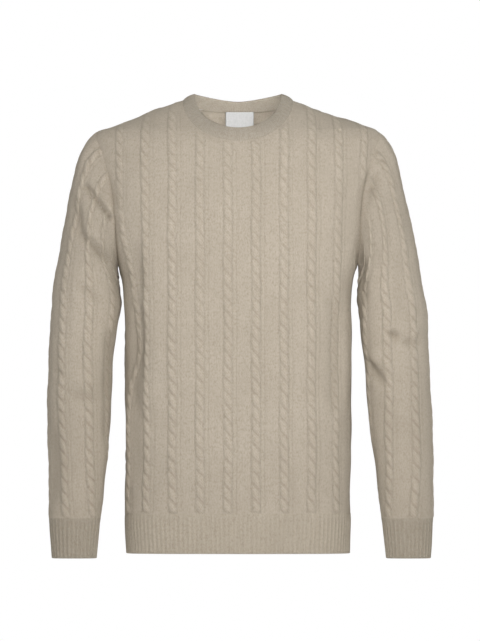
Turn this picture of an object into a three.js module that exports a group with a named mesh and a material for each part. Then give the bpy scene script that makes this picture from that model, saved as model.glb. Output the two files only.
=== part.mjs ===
// Cable knit crew-neck sweater, filled out as if it were worn, with nobody inside.
// Units are millimetres. +Z is up, +X is the wearer's left and the front faces -Y.
// The origin is the middle of the neck opening, level with the inner ends of the shoulder seams.
// Every cloth piece is a thin wall: a smooth surface, its folds, and cables or ribs raised on the outside.
import * as THREE from 'three';

// Driving dimensions
const WALL = 2.4;            // knitted cloth of the panels and sleeves
const BAND_WALL = 3.4;       // neckband, knitted double
const SEAM_GAP = 0.3;        // between neighbouring pieces
const HALF_GAP = SEAM_GAP / 2;
const HEM_SEAM_Z = -619;     // where the hem rib meets the panels
const HEM_Z = -679;          // bottom edge of the hem rib
const CUFF_SEAM_Z = -626;
const CUFF_Z = -686;
const SHOULDER_Z = -45;      // outer end of the shoulder seam
const UNDERARM_Z = -254;
const ARMHOLE_DEPTH = 56;    // half the armhole's width from front to back
const ARMHOLE_TAPER = 0.25;  // how much narrower the armhole is at its top
const NECK_HALF = 83;        // neckline, half its width
const NECK_DROP = { front: 61, back: 17 };
const BAND_TOP = { half: 65, z: 10.5, frontY: 71, backY: 60, frontDrop: 51, backDrop: 11 };
const CABLE_PITCH = 42;
const CABLE_HALF = 9.5;      // half a cable with its two ditches
const CROSSING = 20;         // length of one cable crossing
const CABLE_HIGH = 2.6;
const CABLE_LOW = 1.3;
const DITCH = -0.3;
const SLANT = 5;             // how far a strand's end is from the level of its middle
const ROW_MARGIN = { start: 5, end: 6 };  // least distance of a raised point from a column's ends
const SEAM_FADE = { flat: 3, full: 20 };  // where the sleeve's cables flatten beside its seam
const INSIDE_TOLERANCE = 0.4;  // how far the plain inside may stray from the cloth's own curve
const MITRE_LIMIT = 0.6;     // least cosine used where two walls meet at an angle
const SEAM_LEAN = 0.6;       // how strongly the armhole's seam faces away from its middle
const EDGE_STEP = 20;        // between the points of a long plain edge
const ARMPIT = { topZ: -130, flat: 4, full: 38 };  // where cables flatten under the arm
const FRONT_SHIFT = 6;       // the front's cables sit this far towards the wearer's left
const BODY_CABLES = 5;       // cables on each side of the middle
const BODY_PLAIN = 221;      // the last plain column of the front and back
const BODY_LAST = 208;       // no cable column lies further out than this
const SLEEVE_CABLES = 4;     // cables on each side of the sleeve's outer line
const SLEEVE_SHIFT = { left: 10, right: 6 };  // how far they are turned towards the front
const SLEEVE_PLAIN = [200, 228];  // the sleeve's last plain columns
const RIB_PITCH = 7;
const RIB_HEIGHT = 1.1;
const RIB_EDGE = 3;          // least distance of a ring's points from the seam under the arm
const LABEL = { width: 42, height: 28, thick: 0.7, centreX: 2.5, topZ: -16.5, topY: 67.2, hang: 0.12 };
const BAND = { shares: [0, 0.35, 0.72, 1], turned: 0.5, bulge: 1.6, tuck: 0.6, flatter: 0.4 };
const LABEL_BEND = 0.0022;   // how the label's ends curve forward with the neck
const BACK_CURVE = { power: 1.3, blunt: 0.15 };  // how the band's free edge dips at the back

// The torso, slice by slice: half its width, its depth to the front and to the back,
// and the power of the slice's outline, where 2 is an ellipse and more is squarer.
const TORSO = [
  { z: -700, half: 166.5, front: 97, back: 95, power: 2.9 },
  { z: -619, half: 169.5, front: 101, back: 99, power: 3.0 },
  { z: -540, half: 169.5, front: 99, back: 98, power: 3.0 },
  { z: -450, half: 169.5, front: 99, back: 97, power: 3.0 },
  { z: -380, half: 169.5, front: 101, back: 97, power: 3.0 },
  { z: -320, half: 169.5, front: 103, back: 100, power: 3.0 },
  { z: -290, half: 170.5, front: 104, back: 103, power: 3.0 },
  { z: -270, half: 173, front: 105, back: 106, power: 2.9 },
  { z: -254, half: 178, front: 105.5, back: 107, power: 2.85 },
  { z: -240, half: 183.5, front: 106, back: 108, power: 2.8 },
  { z: -205, half: 195, front: 106, back: 110, power: 2.7 },
  { z: -165, half: 204, front: 104, back: 110, power: 2.55 },
  { z: -120, half: 211, front: 97, back: 105, power: 2.4 },
  { z: -90, half: 215, front: 90, back: 99, power: 2.3 },
  { z: -60, half: 217, front: 80, back: 91, power: 2.15 },
  { z: -45, half: 208, front: 71, back: 86, power: 2.05 },
  { z: -36, half: 183, front: 63, back: 82, power: 2.0 },
  { z: -24, half: 149.7, front: 52, back: 76, power: 2.0 },
  { z: -17, half: 130.2, front: 45.5, back: 72, power: 2.0 },
  { z: -10, half: 110.8, front: 38, back: 57, power: 2.0 },
  { z: 0, half: 83, front: 26, back: 40, power: 2.0 },
  { z: 12, half: 50, front: 16, back: 26, power: 2.0 },
];

// The left sleeve, ring by ring: the ring's outermost and innermost points, half its depth
// and how far forward its middle lies. The right sleeve is its mirror image.
const SLEEVE = [
  { outerX: 208, outerZ: -45, innerX: 178, innerZ: -254, depth: 56, midY: 0 },
  { outerX: 219, outerZ: -54, innerX: 179, innerZ: -257, depth: 58, midY: 0 },
  { outerX: 232, outerZ: -74, innerX: 179.7, innerZ: -260, depth: 59, midY: -1 },
  { outerX: 243.5, outerZ: -108, innerX: 180, innerZ: -264, depth: 60, midY: -2 },
  { outerX: 254, outerZ: -150, innerX: 180, innerZ: -269, depth: 60, midY: -3 },
  { outerX: 263, outerZ: -195, innerX: 179.5, innerZ: -276, depth: 60, midY: -4 },
  { outerX: 271, outerZ: -243, innerX: 178.8, innerZ: -285, depth: 59, midY: -5 },
  { outerX: 279, outerZ: -300, innerX: 178, innerZ: -300, depth: 57, midY: -6 },
  { outerX: 283, outerZ: -345, innerX: 184, innerZ: -345, depth: 55, midY: -8 },
  { outerX: 286, outerZ: -390, innerX: 189, innerZ: -390, depth: 52, midY: -11 },
  { outerX: 289, outerZ: -457, innerX: 193.5, innerZ: -457, depth: 48.5, midY: -17 },
  { outerX: 289.5, outerZ: -525, innerX: 199.5, innerZ: -525, depth: 45, midY: -25 },
  { outerX: 289, outerZ: -570, innerX: 204, innerZ: -570, depth: 42, midY: -31 },
  { outerX: 288, outerZ: -626, innerX: 210, innerZ: -626, depth: 37.5, midY: -38 },
  { outerX: 286, outerZ: -660, innerX: 213.5, innerZ: -660, depth: 34.5, midY: -42 },
  { outerX: 284, outerZ: -690, innerX: 216, innerZ: -690, depth: 32, midY: -45 },
];

// How far each sleeve hangs to the wearer's left of its mirrored place.
const SWAY = [
  { z: -700, left: 4.5, right: 5 },
  { z: -560, left: 4, right: 4.5 },
  { z: -500, left: 2.5, right: 4.5 },
  { z: -430, left: 1, right: 4 },
  { z: -350, left: 0, right: 2.5 },
  { z: -312, left: 1.5, right: 2.5 },
  { z: -285, left: 0, right: 0 },
  { z: -240, left: -1.5, right: 0 },
  { z: -150, left: -3, right: 0 },
  { z: -90, left: -1.5, right: 0 },
  { z: -45, left: 0, right: 0 },
];

// The largest folds, as soft troughs between two points seen from the front, with a rounded
// ridge beside each. face -1 is the front and 1 is the back.
const FOLDS = [
  { face: -1, x0: -157, z0: -200, x1: -134, z1: -308, width: 13, depth: 4, ridge: 2.5 },
  { face: -1, x0: -133, z0: -300, x1: -155, z1: -440, width: 13, depth: 4, ridge: 2 },
  { face: -1, x0: -150, z0: -425, x1: -150, z1: -565, width: 12, depth: 2.5, ridge: -1.5 },
  { face: -1, x0: 138, z0: -265, x1: 143, z1: -520, width: 12, depth: 2.8, ridge: 2.0 },
  { face: -1, x0: -236, z0: -150, x1: -222, z1: -226, width: 12, depth: 4.5, ridge: 2.5 },
  { face: -1, x0: -222, z0: -226, x1: -200, z1: -268, width: 12, depth: 5.0, ridge: 3.0 },
  { face: -1, x0: -213, z0: -138, x1: -192, z1: -182, width: 12, depth: 3.5, ridge: 2.0 },
  { face: -1, x0: -240, z0: -276, x1: -203, z1: -306, width: 12, depth: 3.5, ridge: 2.5 },
  { face: -1, x0: -258, z0: -440, x1: -198, z1: -446, width: 12, depth: 3.0, ridge: 2.0 },
  { face: -1, x0: 218, z0: -105, x1: 194, z1: -140, width: 12, depth: 4.5, ridge: -2.0 },
  { face: -1, x0: 192, z0: -375, x1: 224, z1: -420, width: 13, depth: 5.0, ridge: 3.5 },
  { face: -1, x0: 221, z0: -345, x1: 246, z1: -357, width: 12, depth: 3.5, ridge: 2.0 },
  { face: -1, x0: 246, z0: -357, x1: 275, z1: -352, width: 12, depth: 3.0, ridge: 1.5 },
  { face: 1, x0: -130, z0: -230, x1: -136, z1: -400, width: 12, depth: 3.5, ridge: 2.0 },
  { face: 1, x0: 128, z0: -250, x1: 137, z1: -430, width: 12, depth: 3.2, ridge: -2.0 },
  { face: 1, x0: -60, z0: -415, x1: 70, z1: -432, width: 14, depth: 2.8, ridge: 2.0 },
  { face: 1, x0: -226, z0: -205, x1: -198, z1: -262, width: 12, depth: 4.5, ridge: -2.5 },
  { face: 1, x0: 232, z0: -190, x1: 204, z1: -258, width: 12, depth: 4.5, ridge: 2.5 },
  { face: 1, x0: -262, z0: -395, x1: -214, z1: -372, width: 12, depth: 4.0, ridge: 2.0 },
  { face: 1, x0: 264, z0: -405, x1: 212, z1: -384, width: 12, depth: 4.0, ridge: -2.0 },
];

/** A smooth function through one column of a table, with slopes that never overshoot. */
function smoothColumn(rows, at, column) {
  const xs = rows.map((row) => row[at]);
  const ys = rows.map((row) => row[column]);
  const last = xs.length - 1;
  const steps = xs.slice(1).map((x, i) => (ys[i + 1] - ys[i]) / (x - xs[i]));
  const slopes = xs.map((x, i) => {
    if (i === 0) return steps[0];
    if (i === last) return steps[last - 1];
    const product = steps[i - 1] * steps[i];
    return product <= 0 ? 0 : (2 * product) / (steps[i - 1] + steps[i]);
  });
  return (x) => {
    let i = 0;
    while (i < last - 1 && x > xs[i + 1]) i += 1;
    const width = xs[i + 1] - xs[i];
    const t = Math.min(1, Math.max(0, (x - xs[i]) / width));
    const rise = t * t * (3 - 2 * t);
    const start = t * (1 - t) * (1 - t) * width;
    const end = t * t * (t - 1) * width;
    return ys[i] + (ys[i + 1] - ys[i]) * rise + slopes[i] * start + slopes[i + 1] * end;
  };
}

function smoothStep(low, high, x) {
  const t = Math.min(1, Math.max(0, (x - low) / (high - low)));
  return t * t * (3 - 2 * t);
}

const RIDGE_AT = 1.7;      // the ridge's distance from its trough, in trough widths
const RIDGE_SPREAD = 1.6;

/** Depth of the folds at a point: how far the cloth moves out along its normal. */
function foldHeight(point, normal) {
  let height = 0;
  for (const fold of FOLDS) {
    const facing = smoothStep(0.05, 0.6, normal.y * fold.face);
    if (facing === 0) continue;
    const runX = fold.x1 - fold.x0;
    const runZ = fold.z1 - fold.z0;
    const length = Math.hypot(runX, runZ);
    const alongX = runX / length;
    const alongZ = runZ / length;
    const dx = point.x - fold.x0;
    const dz = point.z - fold.z0;
    const along = dx * alongX + dz * alongZ;
    const across = (dz * alongX - dx * alongZ) / fold.width;
    const ends = Math.min(0.45 * length, 2.5 * fold.width);
    const begun = smoothStep(-0.3 * ends, ends, along);
    const ended = smoothStep(length - ends, length + 0.3 * ends, along);
    const trough = -fold.depth * Math.exp(-across * across);
    const fromRidge = Math.sign(fold.ridge) * across - RIDGE_AT;
    const ridge = Math.abs(fold.ridge) * Math.exp(-(fromRidge ** 2) / RIDGE_SPREAD);
    height += facing * begun * (1 - ended) * (trough + ridge);
  }
  return height;
}

const torsoHalf = smoothColumn(TORSO, 'z', 'half');
const torsoPower = smoothColumn(TORSO, 'z', 'power');
const torsoDepth = { '-1': smoothColumn(TORSO, 'z', 'front'), 1: smoothColumn(TORSO, 'z', 'back') };

/** How far from the middle plane the torso's surface is, at a point of its front view. */
function torsoY(face, x, z) {
  const power = torsoPower(z);
  const share = Math.min(1, Math.abs(x) / torsoHalf(z));
  return face * torsoDepth[face](z) * (1 - share ** power) ** (1 / power);
}

function torsoX(face, y, z) {
  const power = torsoPower(z);
  const share = Math.min(1, Math.abs(y) / torsoDepth[face](z));
  return torsoHalf(z) * (1 - share ** power) ** (1 / power);
}

/** Outward normal of the torso, from the slope of its outline function. */
function torsoNormal(face, point) {
  const outline = (x, y, z) => {
    const power = torsoPower(z);
    return (Math.abs(x) / torsoHalf(z)) ** power + (Math.abs(y) / torsoDepth[face](z)) ** power;
  };
  const e = 0.05;
  const { x, y, z } = point;
  return new THREE.Vector3(
    outline(x + e, y, z) - outline(x - e, y, z),
    outline(x, y + e, z) - outline(x, y - e, z),
    outline(x, y, z + e) - outline(x, y, z - e),
  ).normalize();
}

/** The normal of a wall's level edge, turned to lie level itself. */
function level(normal) {
  return normal.clone().setZ(0).normalize();
}

/** A point of cloth: where its smooth surface is, its normal, and where its folds put it. */
function clothPoint(point, normal, relief = 0, along = 0) {
  const place = point.clone().addScaledVector(normal, foldHeight(point, normal));
  return { place, normal, relief, along };
}

const sliceCache = new Map();

/** One quarter of a torso slice as points with their distance round it from the middle. */
function slice(face, z) {
  const key = `${face} ${z.toFixed(3)}`;
  if (!sliceCache.has(key)) {
    const count = 96;
    const power = 2 / torsoPower(z);
    const points = [];
    let arc = 0;
    for (let i = 0; i <= count; i += 1) {
      const angle = (i / count) * Math.PI / 2;
      const x = torsoHalf(z) * Math.sin(angle) ** power;
      const y = i === count ? 0 : torsoDepth[face](z) * Math.cos(angle) ** power;
      if (i > 0) arc += Math.hypot(x - points[i - 1].x, y - points[i - 1].y);
      points.push({ x, y, arc });
    }
    sliceCache.set(key, points);
  }
  return sliceCache.get(key);
}

function arcOfX(face, x, z) {
  const points = slice(face, z);
  const i = Math.max(1, points.findIndex((p) => p.x >= Math.abs(x) - 1e-6));
  const a = points[i - 1];
  const b = points[i];
  return Math.sign(x) * (a.arc + (b.arc - a.arc) * (Math.abs(x) - a.x) / Math.max(1e-9, b.x - a.x));
}

/** The torso's surface at a distance round the slice from the middle of the front or back. */
function torsoPoint(face, wale, z) {
  const points = slice(face, z);
  const arc = Math.min(Math.abs(wale), points[points.length - 1].arc);
  const i = Math.max(1, points.findIndex((p) => p.arc >= arc));
  const a = points[i - 1];
  const b = points[i];
  const t = (arc - a.arc) / Math.max(1e-9, b.arc - a.arc);
  const x = Math.sign(wale) * (a.x + (b.x - a.x) * t);
  return new THREE.Vector3(x, face * (a.y + (b.y - a.y) * t), z);
}

/** The armhole's edge: angle 0 is the shoulder point and pi is the underarm. */
function armholePoint(side, face, angle) {
  const z = (SHOULDER_Z + UNDERARM_Z) / 2 + ((SHOULDER_Z - UNDERARM_Z) / 2) * Math.cos(angle);
  const y = ARMHOLE_DEPTH * Math.sin(angle) * (1 - ARMHOLE_TAPER * Math.cos(angle));
  return new THREE.Vector3(side * torsoX(face, y, z), face * y, z);
}

/** The neckline's edge: angle 0 is the middle of the front or back, +-pi/2 the shoulder seams. */
function necklinePoint(face, angle) {
  const drop = face < 0 ? NECK_DROP.front : NECK_DROP.back;
  const x = NECK_HALF * Math.sin(angle);
  const z = -drop * Math.cos(angle);
  return new THREE.Vector3(x, torsoY(face, x, z), z);
}

/** Points at even distances along a curve given as a function of 0 to 1. */
function evenPoints(curve, count) {
  const fine = 400;
  const dense = [];
  let arc = 0;
  for (let i = 0; i <= fine; i += 1) {
    const point = curve(i / fine);
    if (i > 0) arc += point.distanceTo(dense[i - 1].point);
    dense.push({ point, arc, t: i / fine });
  }
  const result = [];
  for (let k = 0; k <= count; k += 1) {
    const goal = (arc * k) / count;
    const i = Math.min(fine, Math.max(1, dense.findIndex((d) => d.arc >= goal - 1e-9)));
    const share = (goal - dense[i - 1].arc) / Math.max(1e-9, dense[i].arc - dense[i - 1].arc);
    result.push(curve(dense[i - 1].t + (dense[i].t - dense[i - 1].t) * share));
  }
  return result;
}

const ARMHOLE_STEPS = 24;
const NECK_STEPS = { '-1': 36, 1: 30 };
const SHOULDER_STEPS = 10;
const necklines = {
  '-1': evenPoints((t) => necklinePoint(-1, (t - 0.5) * Math.PI), NECK_STEPS['-1']),
  1: evenPoints((t) => necklinePoint(1, (t - 0.5) * Math.PI), NECK_STEPS[1]),
};

// Distance down the sleeve of each ring, the mean of its outer and inner lines.
SLEEVE.forEach((row, i) => {
  const above = SLEEVE[i - 1];
  row.down = i === 0 ? 0 : above.down
    + 0.5 * Math.hypot(row.outerX - above.outerX, row.outerZ - above.outerZ)
    + 0.5 * Math.hypot(row.innerX - above.innerX, row.innerZ - above.innerZ);
});
const sleeveLine = Object.fromEntries(['outerX', 'outerZ', 'innerX', 'innerZ', 'depth', 'midY']
  .map((name) => [name, smoothColumn(SLEEVE, 'down', name)]));
const sway = { 1: smoothColumn(SWAY, 'z', 'left'), '-1': smoothColumn(SWAY, 'z', 'right') };
const SLEEVE_POWER = 2.15;
const ARMHOLE_BLEND = 75;   // how far down the sleeve still follows the armhole's own curve
const SLEEVE_END = SLEEVE.find((row) => row.outerZ === CUFF_SEAM_Z).down;

/** A plain ring of the left sleeve. Angle 0 is its outer side, and the front is below pi. */
function sleeveRing(down, angle) {
  const at = Object.fromEntries(Object.entries(sleeveLine).map(([name, line]) => [name, line(down)]));
  const rounded = (v) => Math.sign(v) * Math.abs(v) ** (2 / SLEEVE_POWER);
  const across = rounded(Math.cos(angle));
  return new THREE.Vector3(
    (at.outerX + at.innerX) / 2 + ((at.outerX - at.innerX) / 2) * across,
    at.midY - at.depth * rounded(Math.sin(angle)),
    (at.outerZ + at.innerZ) / 2 + ((at.outerZ - at.innerZ) / 2) * across,
  );
}

/** The left sleeve's surface, which starts along the armhole. */
function sleeveSurface(down, angle) {
  const share = 1 - smoothStep(0, ARMHOLE_BLEND, down);
  const point = sleeveRing(down, angle);
  if (share === 0) return point;
  const face = Math.sin(angle) >= 0 ? -1 : 1;
  const folded = Math.abs(Math.atan2(Math.sin(angle), Math.cos(angle)));
  const edge = armholePoint(1, face, folded).sub(sleeveRing(0, angle));
  return point.addScaledVector(edge, share);
}

function sleeveNormal(down, angle) {
  const e = 0.01;
  const round = sleeveSurface(down, angle + e).sub(sleeveSurface(down, angle - e));
  const along = sleeveSurface(down + 1, angle).sub(sleeveSurface(Math.max(0, down - 1), angle));
  return round.cross(along).normalize();
}

const ringCache = new Map();

/** Half a sleeve ring as angles with their distance round it from the outer side. */
function halfRing(down) {
  const key = down.toFixed(2);
  if (!ringCache.has(key)) {
    const count = 72;
    const points = [];
    let arc = 0;
    let before = null;
    for (let i = 0; i <= count; i += 1) {
      const angle = (i / count) * Math.PI;
      const point = sleeveSurface(down, angle);
      if (before) arc += point.distanceTo(before);
      points.push({ angle, arc });
      before = point;
    }
    ringCache.set(key, points);
  }
  return ringCache.get(key);
}

/** Angle round the sleeve of a wale, which is counted from the outer side, + to the front. */
function sleeveAngle(wale, down) {
  const points = halfRing(down);
  const arc = Math.min(Math.abs(wale), points[points.length - 1].arc);
  const i = Math.max(1, points.findIndex((p) => p.arc >= arc));
  const [a, b] = [points[i - 1], points[i]];
  return Math.sign(wale) * (a.angle + (b.angle - a.angle) * (arc - a.arc) / Math.max(1e-9, b.arc - a.arc));
}

/** Distance round the armhole's own ring from the sleeve's outer line to an angle. */
function waleOfAngle(angle) {
  const points = halfRing(0);
  const k = Math.max(1, points.findIndex((p) => p.angle >= angle - 1e-6));
  const share = (angle - points[k - 1].angle) / (points[k].angle - points[k - 1].angle);
  return points[k - 1].arc + (points[k].arc - points[k - 1].arc) * share;
}

/** The armhole's edge points of the wearer's left side, with the normal that the torso and the
 * sleeve share there and the way across the seam to the sleeve. */
function armholeEdge(face) {
  const angleOf = (p) => Math.acos(THREE.MathUtils.clamp(
    (2 * p.z - SHOULDER_Z - UNDERARM_Z) / (SHOULDER_Z - UNDERARM_Z), -1, 1));
  return evenPoints((t) => armholePoint(1, face, t * Math.PI), ARMHOLE_STEPS).map((point) => {
    const angle = angleOf(point);
    const torso = torsoNormal(face, point);
    const outward = new THREE.Vector3(0, point.y, point.z - (SHOULDER_Z + UNDERARM_Z) / 2).normalize();
    const normal = torso.clone().add(sleeveNormal(0, -face * angle))
      .addScaledVector(outward, SEAM_LEAN).normalize();
    const tangent = armholePoint(1, face, angle + 0.01).sub(armholePoint(1, face, angle - 0.01));
    const across = tangent.cross(normal).normalize();
    if (across.x < 0) across.negate();
    const thickness = WALL / Math.max(MITRE_LIMIT, normal.dot(torso));
    return { point, angle, normal, across, thickness };
  });
}

const armholes = { '-1': armholeEdge(-1), 1: armholeEdge(1) };

/** How much of the cables' height is left at a point: none in the crease under the arm. */
function armpitShare(point) {
  const crease = [...armholes['-1'], ...armholes[1]].filter((edge) => edge.point.z < ARMPIT.topZ);
  const place = new THREE.Vector3(Math.abs(point.x), point.y, point.z);
  const nearest = Math.min(...crease.map((edge) => edge.point.distanceTo(place)));
  return smoothStep(ARMPIT.flat, ARMPIT.full, nearest);
}

/** Collects a closed wall's vertices and triangles. */
class Wall {
  constructor(thickness) {
    this.thickness = thickness;
    this.positions = [];
    this.triangles = [];
    this.outer = new Map();
    this.inner = new Map();
  }

  add(map, point, offset) {
    if (!map.has(point)) {
      map.set(point, this.positions.length);
      this.positions.push(point.place.clone().addScaledVector(point.normal, offset));
    }
    return map.get(point);
  }

  out(point) {
    return this.add(this.outer, point, point.relief);
  }

  in(point) {
    return this.add(this.inner, point, -(point.thickness ?? this.thickness));
  }

  face(a, b, c) {
    if (a !== b && b !== c && c !== a) this.triangles.push(a, b, c);
  }

  /** Joins two chains of points with triangles, by the shorter diagonal. The chain named as
   * late takes its last step after the other one has ended. */
  zip(left, right, index, flip = false, late = '') {
    const ends = [left.length - 1, right.length - 1];
    let i = 0;
    let j = 0;
    while (i < ends[0] || j < ends[1]) {
      let goLeft = i < ends[0];
      if (i < ends[0] && j < ends[1] && i + j > 0) {
        const leftReach = left[i + 1].place.distanceTo(right[j].place);
        const shorter = leftReach <= left[i].place.distanceTo(right[j + 1].place);
        const rightWaits = late === 'right' && j === ends[1] - 1;
        const leftWaits = late === 'left' && i === ends[0] - 1;
        goLeft = rightWaits || (shorter && !leftWaits);
      }
      const corner = goLeft ? left[i + 1] : right[j + 1];
      const [a, b, c] = [index(left[i]), index(right[j]), index(corner)];
      if (flip) this.face(a, c, b);
      else this.face(a, b, c);
      if (goLeft) i += 1;
      else j += 1;
    }
  }

  /** Closes the edge between the outside and the inside along a chain of edge points. */
  rim(chain) {
    for (let i = 0; i < chain.length - 1; i += 1) {
      const [a, b] = [chain[i], chain[i + 1]];
      const [outA, outB, inA, inB] = [this.out(a), this.out(b), this.in(a), this.in(b)];
      const reach = (from, to) => this.positions[from].distanceTo(this.positions[to]);
      if (reach(outB, inA) < reach(outA, inB)) {
        this.face(outB, outA, inA);
        this.face(outB, inA, inB);
      } else {
        this.face(outB, outA, inB);
        this.face(outA, inA, inB);
      }
    }
  }

  geometry() {
    let volume = 0;
    for (let i = 0; i < this.triangles.length; i += 3) {
      const [a, b, c] = [0, 1, 2].map((k) => this.positions[this.triangles[i + k]]);
      volume += a.dot(b.clone().cross(c));
    }
    const order = volume > 0 ? this.triangles : this.triangles.slice().reverse();
    const geometry = new THREE.BufferGeometry();
    const numbers = this.positions.flatMap((p) => p.toArray());
    geometry.setAttribute('position', new THREE.Float32BufferAttribute(numbers, 3));
    geometry.setIndex(order);
    geometry.computeVertexNormals();
    return geometry;
  }
}

/** Fills a panel between its columns of points, outside and inside, and closes its edges.
 * Each column runs from the starting edge to the far edge, and names its end points there. */
function panelWall(wall, columns, startEdge, farEdge) {
  const strip = (a, b, pointsOf, flip, index) => {
    const left = pointsOf(a).slice();
    const right = pointsOf(b).slice();
    right.unshift(...startEdge.slice(a.start + 1, b.start));
    const between = farEdge.slice(a.end + 1, b.end);
    const fromLeft = farEdge[a.end].along <= farEdge[b.end].along;
    if (fromLeft) left.push(...between, farEdge[b.end]);
    else right.push(...between.reverse(), farEdge[a.end]);
    const direct = fromLeft ? 'right' : 'left';
    wall.zip(left, right, index, flip, between.length > 0 ? direct : '');
  };
  for (let k = 0; k < columns.length - 1; k += 1) {
    strip(columns[k], columns[k + 1], (column) => column.outside, false, (p) => wall.out(p));
  }
  const lined = columns.filter((column) => column.lined);
  for (let k = 0; k < lined.length - 1; k += 1) {
    strip(lined[k], lined[k + 1], (column) => column.inside, true, (p) => wall.in(p));
  }
}

/** The wale positions of a panel's columns: ditch, crest and ditch for each cable. */
function cableColumns(centres, lean) {
  return centres.flatMap((centre) => [
    { wale: centre - CABLE_HALF, kind: 'left', lean, lined: true },
    { wale: centre, kind: 'crest', lean, lined: false },
    { wale: centre + CABLE_HALF, kind: 'right', lean, lined: true },
  ]);
}

/** Where a column has its points, as distances along it, and their relief. lean is 1 where the
 * strand's left end lies further along than its middle, and -1 where its right end does. */
function reliefRows(kind, lean, length) {
  const step = kind === 'crest' ? CROSSING / 2 : CROSSING;
  const offset = { left: lean * SLANT, right: -lean * SLANT, crest: 0, plain: 0 }[kind];
  const rows = [];
  for (let k = 0; k * step + offset < length - ROW_MARGIN.end; k += 1) {
    const at = k * step + offset;
    if (at < ROW_MARGIN.start) continue;
    const crest = k % 2 === 0 ? CABLE_HIGH : CABLE_LOW;
    rows.push({ at, relief: { crest, left: DITCH, right: DITCH, plain: 0 }[kind] });
  }
  return rows;
}

/** Drops points of a chain while the rest stay within a tolerance of a straight line. */
function thinned(chain, tolerance) {
  const [first, last] = [chain[0].place, chain.at(-1).place];
  const line = new THREE.Line3(first, last);
  const nearest = new THREE.Vector3();
  const gaps = chain.map((p) => line.closestPointToPoint(p.place, true, nearest).distanceTo(p.place));
  const worst = gaps.indexOf(Math.max(...gaps));
  if (gaps[worst] < tolerance) return [chain[0], chain.at(-1)];
  const [before, after] = [chain.slice(0, worst + 1), chain.slice(worst)];
  return [...thinned(before, tolerance).slice(0, -1), ...thinned(after, tolerance)];
}

/** Walks a column of cloth and gives points at chosen distances along it. */
function columnWalker(surface, from, to) {
  const fine = 240;
  const walk = [];
  let arc = 0;
  for (let i = 0; i <= fine; i += 1) {
    const t = to + (from - to) * (1 - i / fine) ** 2;
    const point = surface(t).point;
    if (i > 0) arc += point.distanceTo(walk[i - 1].point);
    walk.push({ t, point, arc });
  }
  const at = (distance) => {
    const i = Math.max(1, walk.findIndex((w) => w.arc >= distance));
    const share = (distance - walk[i - 1].arc) / Math.max(1e-9, walk[i].arc - walk[i - 1].arc);
    return walk[i - 1].t + (walk[i].t - walk[i - 1].t) * share;
  };
  return { length: arc, at };
}

/** Fills in a column: its outside points with relief and its sparser inside points. */
function fillColumn(column, surface, { from, to, first, last, seamShare }) {
  const walker = columnWalker(surface, from, to);
  const rows = reliefRows(column.kind, column.lean, walker.length).map(({ at, relief }) => {
    const { point, normal } = surface(walker.at(at));
    return clothPoint(point, normal, relief * armpitShare(point) * seamShare(walker.at(at)));
  });
  column.outside = [first, ...rows, last];
  column.inside = thinned(column.outside, INSIDE_TOLERANCE);
}

/** First crossing of a column with the far edge, as the nearest edge point's place in the list. */
function edgeIndex(farEdge, wale, minimum) {
  let best = null;
  for (let i = 0; i < farEdge.length - 1; i += 1) {
    const [a, b] = [farEdge[i], farEdge[i + 1]];
    if ((a.wale - wale) * (b.wale - wale) > 0 || a.wale === b.wale) continue;
    const share = (wale - a.wale) / (b.wale - a.wale);
    const along = a.along + (b.along - a.along) * share;
    if (best === null || along < best.along) best = { along, index: share < 0.5 ? i : i + 1 };
  }
  return { along: best.along, index: Math.max(minimum, best.index) };
}

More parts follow.
